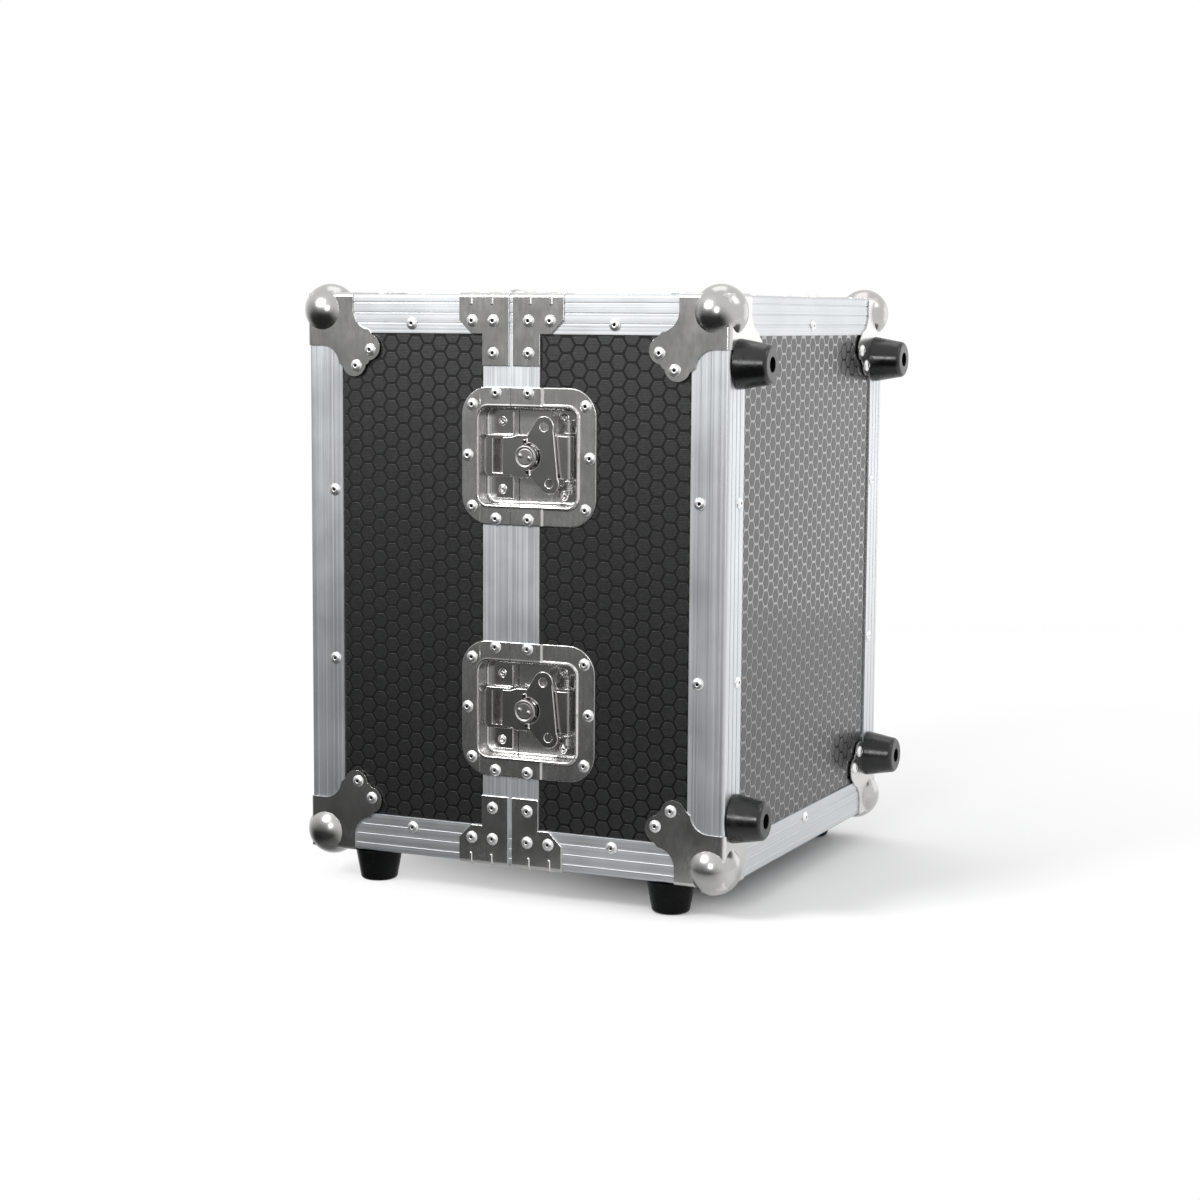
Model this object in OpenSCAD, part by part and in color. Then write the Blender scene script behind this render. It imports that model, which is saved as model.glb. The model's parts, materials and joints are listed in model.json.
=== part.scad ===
// Lighting flight case that opens like a book about a vertical hinge line.
// Front faces -Y, +Z is up. The right half stands fixed and the left half swings.

/* [Case] */
// Width of the closed case across both halves
case_w = 356; // [320:1:480]
// Depth of the case from front to back
case_d = 350; // [310:1:480]
// Height of the case without its feet
case_h = 440; // [420:1:600]

/* [Panels] */
// Thickness of the laminated plywood panels
panel_t = 7; // [6:0.5:9]

/* [Edge extrusions] */
// Width of one flange of the edge angle
edge_w = 30; // [28:0.5:34]
// Thickness of the edge angle
edge_t = 1.5; // [1.2:0.1:1.8]
// Outer rounding of the edge angle
edge_r = 2.5; // [2:0.1:3]
// Width of the flat strip beside the seam on each half
strip_w = 24; // [22:0.5:28]

/* [Corners] */
// Radius of the ball of a corner
ball_r = 20.5; // [19:0.5:22]
// How far the ball's centre lies inside each face
ball_in = 12.5; // [12:0.5:13.5]
// Thickness of the pressed corner and brace plates
plate_t = 1.2; // [0.8:0.1:1.5]

/* [Feet] */
// Radius of a rubber foot where it meets the case
foot_r = 19; // [16:0.5:19]
// Radius of a rubber foot at its tip
foot_tip_r = 15; // [12:0.5:15.5]
// Height of a rubber foot
foot_h = 26; // [20:0.5:34]

/* [Latches] */
// Gap between each latch dish and the brace plate beyond it
latch_gap = 16; // [8:0.5:30]
// Width of the latch dish on the right half
dish_right_w = 71; // [68:0.5:74]
// Width of the latch dish on the left half
dish_left_w = 42.5; // [40:0.5:46]
// Height of the latch dish
dish_h = 105; // [100:0.5:112]
// Depth of the dish's pan
pan_depth = 14; // [13.8:0.1:18]

/* [Hinges and handle] */
// Height of one hinge
hinge_h = 70; // [55:1:90]
// Gap between each hinge and the brace plate beyond it
hinge_gap = 21; // [14:1:40]
// Length of the flange of the carrying handle
handle_len = 150; // [144:1:180]

/* [Hidden] */
$fn = 48;

// Overrun of every cut
over = 1;
// Gap between moving plates, running clearance of a pin and gap of moving neighbours
slide_gap = 0.3;
pin_gap = 0.1;

// Derived places: the seam is the plane X = 0 of the case's own frame
half_w = case_w / 2;
half_d = case_d / 2;
ball_out = ball_r - ball_in;
seam_x = (ball_out - foot_h) / 2;
skin_in = edge_t + panel_t;

// Closure frame: depths are measured from the outer face, reaches from the seam
web_reach = 8;
web_depth = 12;
lip_reach = 16;
lip_t = 1.5;
groove_out = 4;
groove_in = 8.8;
groove_deep = 5;
tongue_out = 4.4;
tongue_in = 7.6;
tongue_len = 4;

// Grooves rolled into the edge angle
rib_groove_w = 0.9;
rib_groove_deep = 0.4;
rib_groove_shares = [0.2, 0.46, 0.72];

// Corner plate outline, measured from the corner along the two edges
arm_len = 40;
arm_w = 12;
lobe_far = 55.5;
lobe_near = 43;
lobe_r = 10.4;
lobe_shift = 2;
lobe_foot_angle = 52;
neck_end_share = 0.9;
bridge_r = 6;
bite_r = 15.5;
bite_far = arm_len + bite_r;
bite_near = arm_w;

// Brace plate outline, measured from the seam and from the edge
brace_gap = 1.6;
brace_arm = 44.2;
brace_chamfer = 10.5;
brace_arm_h = 30;
brace_stem = 24.4;
brace_h = 54;
brace_rib_w = 1.8;
brace_rib_len = 8;
brace_rib_up = 0.8;
brace_rib_xs = [16.1, 33.8];
brace_rivets = [[15, 20], [33, 20], [15, 44.5]];

// Heights of the latches, and distance of each hinge from the middle of the case
latch_off = case_h / 2 - brace_h - latch_gap - dish_h / 2;
latch_zs = [case_h / 2 + latch_off, case_h / 2 - latch_off];
hinge_off = case_h / 2 - brace_h - hinge_gap - hinge_h / 2;

// Rivet heads
rivet_r = 4.75;
rivet_h = 2.1;
rivet_hole_r = 1.3;
rivet_hole_deep = 1.2;
small_rivet_r = 3.3;
small_rivet_h = 1.4;

// Feet
foot_edge = 19;
foot_end = 50.5;
foot_round = 3.5;
foot_bore_r = 5.8;
foot_web = 7;
foot_boss_r = 5;
screw_head_r = 4.2;
screw_head_h = 3;
screw_r = 2.4;

// Rivets along the edges, measured from the corner of the case
edge_rivet_in = 22.5;
edge_rivet_end = 153;
cross_rivet_end = 92;
side_rivet_in = 22.5;

// Latch dish
dish_t = 1.2;
dish_round = 22;
dish_gap = 0.3;
crank_lap = 2;
crank_reach = strip_w + crank_lap;
pan_left = 28.5;
pan_right = 56;
pan_half_h = 38;
pan_round = 9;
dish_rivets_left = [[-33.6, 39], [-12.5, 48], [-37.3, 0], [-12.5, -48], [-33.6, -39]];
dish_rivets_right = [[15, 48], [62.4, 39], [66, 0], [62.4, -39], [15, -48]];

// Latch mechanism: levels are depths behind the case's outer face
drum_x = 12.5;
drum_r = 9;
drum_face = -1.5;
drum_seat = 3.7;
neck_r = 5;
cam_r = 7.5;
cam_off = 1.2;
cam_bottom = 10.6;
face_pin_r = 2.1;
face_pin_h = 0.9;
face_pin_off = 3.9;
face_pin_turn = 20;
wing_tilt = 6;
wing_top = 0.8;
wing_t = 1.6;
wing_notch_r = 10.4;
wing_notch_shift = 1.4;
wing_lobe_r = 8.2;
wing_lobe_x = 17;
wing_lobe_z = 21.5;
wing_hole_r = 3.3;
wing_right = 24.5;
wing_right_z = 16.5;
wing_flange_t = 1.2;
wing_flange_depth = 3.5;
wing_flange_half_h = 15.5;
wing_shoulder_angle = 25;
wing_flank_angle = 45;
wing_eye_r = 2;
wing_eye_bore_r = 1.25;
wing_eye_start = 9.6;
wing_eye_end = 13.4;
wing_stub_r = 1.1;
wing_stub_end = 13.2;
hook_top = 4;
hook_t = 1.4;
hook_tip_x = -9.5;
hook_tail_x = 31;
hook_half_h = 14.3;
hook_travel = 8;
arm_top = hook_top + hook_t + slide_gap;
arm_t = 1.6;
arm_left_x = 3;
arm_step_x = 34.5;
arm_half_h = 16.3;
pin_x = 44.5;
pin_depth = 8.5;
pin_r = 2;
pin_end = 28;
eye_r = 3.8;
bracket_t = 1.3;
bracket_left = 33;
bracket_right = 53;
bracket_half_h = 35;
bracket_round = 8;
ear_side_gap = 1;
ear_start = arm_half_h + ear_side_gap;
ear_t = 1.5;
ear_r = 4.6;
bracket_rivet_x = 39;
bracket_rivet_z = 29.5;
keeper_left = -26;
keeper_right = -3;
keeper_half_h = 16;
keeper_top = arm_top;
keeper_t = 1.6;
keeper_window_left = -18.8;
keeper_window_right = -8.2;
keeper_window_half_h = 13;
keeper_foot_t = 1.3;
keeper_foot_end = 33;
keeper_foot_left = -24;
keeper_foot_right = -4.5;
keeper_rivet_x = -13.5;
keeper_rivet_z = 26;
keeper_chamfer = 3.6;

// Springs of the latch arms and of the handle
coil_wire_r = 0.45;
coil_r = 2.9;
coil_side_gap = 0.7;
coil_start = ear_start + ear_t + coil_side_gap;
coil_turns = 4;
coil_pitch = 1.4;
coil_sides = 6;
coil_rings = 8;
handle_coil_wire_r = 0.7;
handle_coil_r = 4.3;
handle_coil_turns = 5;
handle_coil_pitch = 2;

// Hinges at the back
barrel_r = 3.6;
barrel_y = half_d + barrel_r + slide_gap;
hinge_pin_r = 2;
hinge_pin_head_r = 3.2;
hinge_pin_head_h = 1.2;
leaf_t = 1.5;
leaf_side_gap = 0.6;
leaf_start = barrel_r + leaf_side_gap;
leaf_w = 23;
knuckles = 5;
leaf_rivet_xs = 14;
leaf_rivet_shares = [-0.33, 0.33];

// Carrying handle, let into the top of the right half
handle_w = 96;
handle_x = strip_w + (half_w - edge_w - strip_w) / 2;
handle_t = 1.5;
handle_rim = 19;
handle_round = 9;
handle_depth = 19;
handle_flange_w = 15;
handle_pan_half_w = handle_w / 2 - handle_flange_w;
handle_pan_half_l = handle_len / 2 - handle_rim;
handle_pin_r = 3;
handle_pin_x = -23.5;
handle_pin_z = -7.5;
grip_eye_r = 5.6;
grip_arm_t = 4;
grip_arm_in = 9;
grip_bar_r = 7.2;
grip_bar_x = 13;
grip_bar_z = -8.6;
grip_arm_h = 7;
handle_rivet_in_x = 5.75;
handle_rivet_in_y = 6.75;
handle_rivet_shares = [[-1, -1], [-1, 0], [-1, 1], [1, -1], [1, 0], [1, 1]];

// Foam lining
foam_t = 12;
foam_gap = 0.5;
foam_floor_t = 22;

// Places the case's own frame in the part's frame
module placed() translate([seam_x, 0, foot_h]) children();

// Mirrors a right-half shape to the left half when left is true
module half(left) mirror([left ? 1 : 0, 0, 0]) children();

// Puts a shape made for the front lower edge at all four front, back, top and bottom places
module four_corners() {
    for (back = [0, 1], top = [0, 1])
        translate([0, 0, top * case_h]) mirror([0, back, 0]) mirror([0, 0, top]) children();
}

// Cross-section of the edge angle with its corner at the origin and flanges along +X and +Y
module edge_profile() {
    difference() {
        union() {
            translate([edge_r, edge_r]) circle(edge_r);
            translate([edge_r, 0]) square([edge_w - edge_r, edge_t]);
            translate([0, edge_r]) square([edge_t, edge_w - edge_r]);
            polygon([[edge_r, 0], [edge_r, edge_r], [0, edge_r]]);
        }
        translate([edge_t, edge_t]) square(edge_w);
        for (share = rib_groove_shares) {
            translate([share * edge_w, -over]) square([rib_groove_w, over + rib_groove_deep]);
            translate([-over, share * edge_w]) square([over + rib_groove_deep, rib_groove_w]);
        }
    }
}

// Outer shape of the case with its level edges rounded as the corner plates are bent
module rounded_case() {
    intersection() {
        slab(-half_d - over, half_d + over) round_rect(-half_w, 0, half_w, case_h, edge_r);
        translate([-half_w - over, 0, 0]) rotate([90, 0, 90]) linear_extrude(case_w + 2 * over)
            round_rect(-half_d, 0, half_d, case_h, edge_r);
    }
}

// Right half's uprights at the front and back of the side, with their ends dressed to the corner plates
module uprights() {
    intersection() {
        for (back = [0, 1])
            mirror([0, back, 0]) translate([half_w, -half_d, 0]) mirror([1, 0, 0])
                linear_extrude(case_h) edge_profile();
        rounded_case();
    }
}

// Right half's top and bottom edges along the side
module side_edges() {
    for (top = [0, 1])
        translate([half_w, half_d - edge_w, top * case_h]) mirror([0, 0, top]) rotate([90, 0, 0])
            mirror([1, 0, 0]) linear_extrude(case_d - 2 * edge_w) edge_profile();
}

// Right half's edges from the seam to the side at the front and back, top and bottom
module cross_edges() {
    four_corners() translate([0, -half_d, 0]) rotate([90, 0, 90])
        linear_extrude(half_w - edge_w) edge_profile();
}

// Outline of the seam ring at one depth, in the plane of the seam
module ring_2d(depth) {
    translate([-half_d + depth, depth]) square([case_d - 2 * depth, case_h - 2 * depth]);
}

// Ring along the seam between two depths and two reaches from the seam
module seam_ring(depth_out, depth_in, reach_from, reach_to) {
    translate([reach_from, 0, 0]) rotate([90, 0, 90]) linear_extrude(reach_to - reach_from) difference() {
        ring_2d(depth_out);
        ring_2d(depth_in);
    }
}

// Flat strips that show beside the seam on the front, back, top and bottom
module seam_strips() {
    for (back = [0, 1])
        mirror([0, back, 0]) translate([0, -half_d, edge_w]) cube([strip_w, edge_t, case_h - 2 * edge_w]);
    for (top = [0, 1])
        translate([0, -half_d + edge_w, top * (case_h - edge_t)])
            cube([strip_w, case_d - 2 * edge_w, edge_t]);
}

// Room that the latch pans take in a front piece
module pan_room(clear) {
    for (z = latch_zs)
        translate([-pan_left - clear, -half_d - over, z - pan_half_h - clear])
            cube([pan_left + pan_right + 2 * clear, pan_depth + dish_t + clear + over,
                  2 * (pan_half_h + clear)]);
}

// Room that the handle's pan takes in the top
module handle_room(clear) {
    translate([handle_x - handle_pan_half_w - clear, -handle_pan_half_l - clear,
               case_h - handle_depth - handle_t - clear])
        cube([2 * (handle_pan_half_w + clear), 2 * (handle_pan_half_l + clear),
              handle_depth + handle_t + clear + over]);
}

// Frame around the seam: strips, web, lip behind the panel, and a groove or a tongue
module closure_frame(grooved) {
    difference() {
        union() {
            seam_strips();
            seam_ring(edge_t, web_depth, 0, web_reach);
            seam_ring(skin_in, skin_in + lip_t, web_reach, lip_reach);
            if (!grooved) seam_ring(tongue_out, tongue_in, -tongue_len, 0);
        }
        if (grooved) seam_ring(groove_out, groove_in, -over, groove_deep);
        if (grooved) pan_room(slide_gap);
        else mirror([1, 0, 0]) pan_room(slide_gap);
    }
}

module base_side_panel_shape() {
    translate([half_w - skin_in, -half_d + edge_t, edge_t])
        cube([panel_t, case_d - 2 * edge_t, case_h - 2 * edge_t]);
}

module front_panel_shape() {
    translate([web_reach, -half_d + edge_t, edge_t])
        cube([half_w - skin_in - web_reach, panel_t, case_h - 2 * edge_t]);
}

module bottom_panel_shape() {
    translate([web_reach, -half_d + skin_in, edge_t])
        cube([half_w - skin_in - web_reach, case_d - 2 * skin_in, panel_t]);
}

// Outline of one face of a corner plate, with the box corner at the origin
module corner_outline() {
    far = lobe_far - lobe_shift;
    near = lobe_near - lobe_shift;
    neck_r = neck_end_share * lobe_r;
    lobe_foot = [far + neck_r * cos(lobe_foot_angle), near - neck_r * sin(lobe_foot_angle)];
    difference() {
        polygon([
            [-plate_t, -plate_t], [arm_len, -plate_t], [arm_len, arm_w],
            lobe_foot, [far, near], [near, far], [lobe_foot[1], lobe_foot[0]],
            [arm_w, arm_len], [-plate_t, arm_len]
        ]);
        translate([bite_far, bite_near]) circle(bite_r);
        translate([bite_near, bite_far]) circle(bite_r);
    }
    translate([far, near]) circle(lobe_r);
    translate([near, far]) circle(lobe_r);
    translate([(lobe_near + lobe_far) / 2, (lobe_near + lobe_far) / 2]) circle(bridge_r);
}

// Square with one corner rounded, grown outwards by grow
module rounded_quadrant(grow) {
    reach = 2 * lobe_far;
    difference() {
        translate([-grow, -grow]) square(reach);
        translate([-grow - over, -grow - over]) square(edge_r + grow + over);
    }
    translate([edge_r, edge_r]) circle(edge_r + grow);
}

// The case's corner as a solid with three rounded edges, grown outwards by grow
module corner_block(grow) {
    reach = 2 * lobe_far;
    intersection() {
        translate([0, 0, -grow]) linear_extrude(reach) rounded_quadrant(grow);
        translate([-grow, 0, 0]) rotate([90, 0, 90]) linear_extrude(reach) rounded_quadrant(grow);
        translate([0, reach - grow, 0]) rotate([90, 0, 0]) linear_extrude(reach) rounded_quadrant(grow);
    }
}

// Pressed ball corner for the corner at the origin, with the case along +X, +Y and +Z
module ball_corner() {
    skirt = edge_r + plate_t;
    difference() {
        union() {
            intersection() {
                corner_block(plate_t);
                union() {
                    translate([0, 0, -plate_t]) linear_extrude(skirt) corner_outline();
                    translate([-plate_t, 0, 0]) rotate([90, 0, 90]) linear_extrude(skirt) corner_outline();
                    translate([0, edge_r, 0]) rotate([90, 0, 0]) linear_extrude(skirt) corner_outline();
                }
            }
            translate([ball_in, ball_in, ball_in]) sphere(ball_r);
        }
        corner_block(0);
        translate([ball_in, ball_in, ball_in]) sphere(ball_r - plate_t);
    }
}

module ball_corners() {
    four_corners() translate([half_w, -half_d, 0]) mirror([1, 0, 0]) ball_corner();
}

// One face of a brace plate, from the bend to the end of its stem
module brace_outline() {
    polygon([
        [brace_gap, edge_r], [brace_arm, edge_r], [brace_arm, brace_arm_h - brace_chamfer],
        [brace_arm - brace_chamfer, brace_arm_h], [brace_stem, brace_arm_h],
        [brace_stem, brace_h], [brace_gap, brace_h]
    ]);
}

// Raised ribs pressed over the bend, in one face
module brace_ribs() {
    for (x = brace_rib_xs)
        translate([x - brace_rib_w / 2, 0]) {
            square([brace_rib_w, brace_rib_len - brace_rib_w / 2]);
            translate([brace_rib_w / 2, brace_rib_len - brace_rib_w / 2]) circle(brace_rib_w / 2);
        }
}

// Brace for the front lower edge: one leg on the front, one under the bottom
module brace_plate() {
    bend_w = brace_arm - brace_gap;
    translate([0, -half_d, 0]) {
        rotate([90, 0, 0]) linear_extrude(plate_t) brace_outline();
        translate([0, 0, -plate_t]) linear_extrude(plate_t) brace_outline();
        translate([0, -plate_t, 0]) rotate([90, 0, 0]) linear_extrude(brace_rib_up) intersection() {
            brace_ribs();
            translate([0, edge_r]) square(brace_arm);
        }
        translate([0, 0, -plate_t - brace_rib_up]) linear_extrude(brace_rib_up) intersection() {
            brace_ribs();
            translate([0, edge_r]) square(brace_arm);
        }
        intersection() {
            translate([brace_gap, -plate_t - brace_rib_up, -plate_t - brace_rib_up])
                cube([bend_w, edge_r + plate_t + brace_rib_up, edge_r + plate_t + brace_rib_up]);
            difference() {
                translate([brace_gap, edge_r, edge_r]) rotate([0, 90, 0]) union() {
                    cylinder(h = bend_w, r = edge_r + plate_t);
                    for (x = brace_rib_xs)
                        translate([0, 0, x - brace_rib_w / 2 - brace_gap])
                            cylinder(h = brace_rib_w, r = edge_r + plate_t + brace_rib_up);
                }
                translate([0, edge_r, edge_r]) rotate([0, 90, 0]) cylinder(h = 2 * brace_arm, r = edge_r);
            }
        }
    }
}

// Domed rivet head on the plane Z = 0, with its centre hole
module rivet_head(r, h) {
    dome_r = (r * r + h * h) / (2 * h);
    difference() {
        intersection() {
            translate([0, 0, h - dome_r]) sphere(dome_r);
            cylinder(h = h + over, r = r + over);
        }
        translate([0, 0, h - rivet_hole_deep]) cylinder(h = rivet_hole_deep + over, r = rivet_hole_r);
    }
}

module rivet() rivet_head(rivet_r, rivet_h);

// Puts a shape on the front, side or bottom face, at distances from the edges
module on_front(x, z, lift) translate([x, -half_d - lift, z]) rotate([90, 0, 0]) children();
module on_side(y, z, lift) translate([half_w + lift, y, z]) rotate([0, 90, 0]) children();
module on_bottom(x, y, lift) translate([x, y, -lift]) rotate([180, 0, 0]) children();

// Rivets of the corners, braces and edges of one half, all but the latch and handle rivets
module case_rivets() {
    spots = [[lobe_far, lobe_near], [lobe_near, lobe_far]];
    four_corners() {
        for (p = spots) {
            on_front(half_w - p[0], p[1], plate_t) rivet();
            on_side(-half_d + p[0], p[1], plate_t) rivet();
            on_bottom(half_w - p[0], -half_d + p[1], plate_t) rivet();
        }
        for (p = brace_rivets) {
            on_front(p[0], p[1], plate_t) rivet();
            on_bottom(p[0], -half_d + p[1], plate_t) rivet();
        }
        on_front(half_w - edge_rivet_in, edge_rivet_end, 0) rivet();
        on_front(half_w - cross_rivet_end, edge_rivet_in, 0) rivet();
        on_side(-half_d + side_rivet_in, edge_rivet_end, 0) rivet();
        on_bottom(half_w - cross_rivet_end, -half_d + edge_rivet_in, 0) rivet();
    }
    for (top = [0, 1])
        translate([0, 0, top * case_h]) mirror([0, 0, top]) {
            on_side(0, edge_rivet_in, 0) rivet();
            on_bottom(half_w - edge_rivet_in, 0, 0) rivet();
        }
    for (side = [-1, 1], share = leaf_rivet_shares)
        translate([leaf_rivet_xs, half_d + leaf_t, case_h / 2 + side * hinge_off + share * hinge_h])
            rotate([-90, 0, 0]) rivet_head(small_rivet_r, small_rivet_h);
}

// Rivets of both latch dishes on one half
module dish_rivets(spots) {
    for (z = latch_zs, p = spots) {
        level = abs(p[0]) < crank_reach ? dish_t : dish_t - edge_t;
        on_front(p[0], z + p[1], level) rivet();
    }
}

// Profile of a rubber foot from its base at Z = 0 to its rounded tip
module foot_profile() {
    polygon(concat(
        [[foot_bore_r, foot_web], [screw_r, foot_web], [screw_r, 0], [foot_r, 0]],
        [for (a = [0 : 15 : 90])
            [foot_tip_r - foot_round + foot_round * cos(a), foot_h - foot_round + foot_round * sin(a)]],
        [[foot_bore_r, foot_h]]
    ));
}

// Foot that beds on the corner plate, with a boss down to the edge angle
module foot() {
    difference() {
        rotate_extrude() foot_profile();
        difference() {
            translate([0, 0, -over]) cylinder(h = plate_t + over, r = foot_r + over);
            translate([0, 0, -2 * over]) cylinder(h = plate_t + 3 * over, r = foot_boss_r);
        }
    }
}

// Screw whose head sits on the web in the foot's bore
module foot_screw() {
    cylinder(h = foot_web, r = screw_r);
    translate([0, 0, foot_web]) difference() {
        cylinder(h = screw_head_h, r = screw_head_r);
        translate([0, 0, screw_head_h / 2]) cylinder(h = screw_head_h, r = screw_head_r / 2, $fn = 6);
    }
}

// Places of the feet under one half, and on the side of the right half
module bottom_foot_places() {
    for (back = [0, 1])
        mirror([0, back, 0]) on_bottom(half_w - foot_end, -half_d + foot_edge, 0) children();
}

module side_foot_places() {
    four_corners() on_side(-half_d + foot_edge, foot_end, 0) children();
}

// Foam slabs that line one half, with pockets behind the pans
module foam(left) {
    inner_x = half_w - skin_in;
    inner_y = half_d - skin_in - foam_gap;
    inner_z = skin_in + foam_gap;
    start = lip_reach + foam_gap;
    difference() {
        union() {
            translate([inner_x - foam_floor_t, -inner_y, inner_z])
                cube([foam_floor_t, 2 * inner_y, case_h - 2 * inner_z]);
            for (back = [0, 1])
                mirror([0, back, 0]) translate([start, -inner_y, inner_z])
                    cube([inner_x - foam_floor_t - start, foam_t, case_h - 2 * inner_z]);
            for (top = [0, 1])
                translate([start, -inner_y + foam_t, top ? case_h - inner_z - foam_t : inner_z])
                    cube([inner_x - foam_floor_t - start, 2 * (inner_y - foam_t), foam_t]);
        }
        if (left) mirror([1, 0, 0]) pan_room(foam_gap);
        else pan_room(foam_gap);
        if (!left) handle_room(foam_gap);
    }
}

// Hinge leaf and its knuckles; owner 0 holds the even knuckles and owner 1 the odd ones
module hinge_leaf(owner) {
    step = hinge_h / knuckles;
    difference() {
        union() {
            translate([leaf_start, half_d, -hinge_h / 2]) cube([leaf_w - leaf_start, leaf_t, hinge_h]);
            for (k = [owner : 2 : knuckles - 1])
                translate([0, 0, -hinge_h / 2 + k * step + slide_gap / 2]) {
                    translate([0, barrel_y, 0]) cylinder(h = step - slide_gap, r = barrel_r);
                    translate([0, half_d + slide_gap, 0])
                        cube([leaf_start + over, leaf_t - slide_gap, step - slide_gap]);
                }
        }
        translate([0, barrel_y, -hinge_h]) cylinder(h = 2 * hinge_h, r = hinge_pin_r + pin_gap);
    }
}

module hinge_places() {
    for (side = [-1, 1]) translate([0, 0, case_h / 2 + side * hinge_off]) children();
}

// Points of a helix tube, one ring of points per step
function coil_ring(r, wire, a, z, sides) = [
    for (s = [0 : sides - 1]) let (b = 360 * s / sides)
        [(r + wire * cos(b)) * cos(a), (r + wire * cos(b)) * sin(a), z + wire * sin(b)]
];

// Coil spring about Z that starts at Z = 0
module coil_spring(r, wire, turns, pitch) {
    steps = turns * coil_rings;
    points = [for (i = [0 : steps]) each coil_ring(r, wire, 360 * i / coil_rings, pitch * i / coil_rings,
                                                   coil_sides)];
    sides = [for (i = [0 : steps - 1], s = [0 : coil_sides - 1])
        let (n = (s + 1) % coil_sides, a = i * coil_sides, b = a + coil_sides)
            each [[a + s, b + s, b + n], [a + s, b + n, a + n]]];
    caps = [[for (s = [0 : coil_sides - 1]) s],
            [for (s = [coil_sides - 1 : -1 : 0]) steps * coil_sides + s]];
    polyhedron(points, concat(sides, caps));
}

// Rounded rectangle in the plane of a face between two corners
module round_rect(x0, z0, x1, z1, r) {
    translate([x0 + r, z0]) square([x1 - x0 - 2 * r, z1 - z0]);
    translate([x0, z0 + r]) square([x1 - x0, z1 - z0 - 2 * r]);
    for (x = [x0 + r, x1 - r], z = [z0 + r, z1 - r]) translate([x, z]) circle(r);
}

// Extrudes an outline drawn in X and Z from one depth behind the face to another
module slab(depth_from, depth_to) {
    translate([0, depth_to, 0]) rotate([90, 0, 0]) linear_extrude(depth_to - depth_from) children();
}

// Puts a latch piece at one of the two latch heights, with depth 0 on the outer face
module at_latch(z) translate([0, -half_d, z]) children();

// Pressed latch dish, cut to one side of the seam
module latch_dish(left) {
    keep_from = left ? -dish_left_w - over : dish_gap;
    keep_to = left ? -dish_gap : dish_right_w + over;
    intersection() {
        difference() {
            union() {
                slab(-dish_t, 0) intersection() {
                    dish_outline();
                    translate([-crank_reach, -dish_h]) square([2 * crank_reach, 2 * dish_h]);
                }
                slab(-dish_t + edge_t, edge_t) difference() {
                    dish_outline();
                    translate([-strip_w - dish_gap, -dish_h])
                        square([2 * (strip_w + dish_gap), 2 * dish_h]);
                }
                for (side = [-1, 1])
                    slab(-dish_t, edge_t) intersection() {
                        dish_outline();
                        translate([side > 0 ? crank_reach - dish_t : -crank_reach, -dish_h])
                            square([dish_t, 2 * dish_h]);
                    }
                slab(-dish_t, pan_depth + dish_t) pan_outline(0);
            }
            slab(-dish_t - over, pan_depth) pan_outline(dish_t);
        }
        translate([keep_from, -pan_depth, -dish_h])
            cube([keep_to - keep_from, 3 * pan_depth, 2 * dish_h]);
    }
}

module dish_outline() {
    round_rect(-dish_left_w, -dish_h / 2, dish_right_w, dish_h / 2, dish_round);
}

// Outline of the pan, drawn in by inset
module pan_outline(inset) {
    round_rect(-pan_left + inset, -pan_half_h + inset, pan_right - inset, pan_half_h - inset,
               pan_round - inset);
}

// Keeper on the left half: two feet, two risers and a bridge with the window for the hook
module keeper() {
    slab(keeper_top, keeper_top + keeper_t) difference() {
        polygon([
            [keeper_right, -keeper_half_h], [keeper_right, keeper_half_h],
            [keeper_left + keeper_chamfer, keeper_half_h], [keeper_left, keeper_half_h - keeper_chamfer],
            [keeper_left, -keeper_half_h + keeper_chamfer], [keeper_left + keeper_chamfer, -keeper_half_h]
        ]);
        translate([keeper_window_left, -keeper_window_half_h])
            square([keeper_window_right - keeper_window_left, 2 * keeper_window_half_h]);
    }
    for (side = [-1, 1]) {
        slab(keeper_top, pan_depth)
            translate([keeper_foot_left, side > 0 ? keeper_half_h - keeper_t : -keeper_half_h])
                square([keeper_foot_right - keeper_foot_left, keeper_t]);
        slab(pan_depth - keeper_foot_t, pan_depth)
            translate([keeper_foot_left, side > 0 ? keeper_half_h - keeper_t : -keeper_foot_end])
                square([keeper_foot_right - keeper_foot_left, keeper_foot_end - keeper_half_h + keeper_t]);
        translate([keeper_rivet_x, pan_depth - keeper_foot_t, side * keeper_rivet_z]) rotate([90, 0, 0])
            rivet_head(small_rivet_r, small_rivet_h);
    }
}

// Bracket on the right half: floor plate and the two ears that hold the pin
module bracket() {
    difference() {
        union() {
            slab(pan_depth - bracket_t, pan_depth)
                round_rect(bracket_left, -bracket_half_h, bracket_right, bracket_half_h, bracket_round);
            for (side = [-1, 1])
                translate([0, 0, side > 0 ? ear_start : -ear_start - ear_t]) {
                    translate([pin_x, pin_depth, 0]) cylinder(h = ear_t, r = ear_r);
                    translate([pin_x - ear_r, pin_depth, 0])
                        cube([2 * ear_r, pan_depth - pin_depth, ear_t]);
                }
            for (side = [-1, 1])
                translate([bracket_rivet_x, pan_depth - bracket_t, side * bracket_rivet_z])
                    rotate([90, 0, 0]) rivet_head(small_rivet_r, small_rivet_h);
        }
        translate([pin_x, pin_depth, -bracket_half_h]) cylinder(h = 2 * bracket_half_h, r = pin_r);
    }
}

module latch_pin() {
    translate([pin_x, pin_depth, -pin_end]) cylinder(h = 2 * pin_end, r = pin_r);
}

module latch_springs() {
    for (side = [0, 1])
        mirror([0, 0, side]) translate([pin_x, pin_depth, coil_start])
            coil_spring(coil_r, coil_wire_r, coil_turns, coil_pitch);
}

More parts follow.
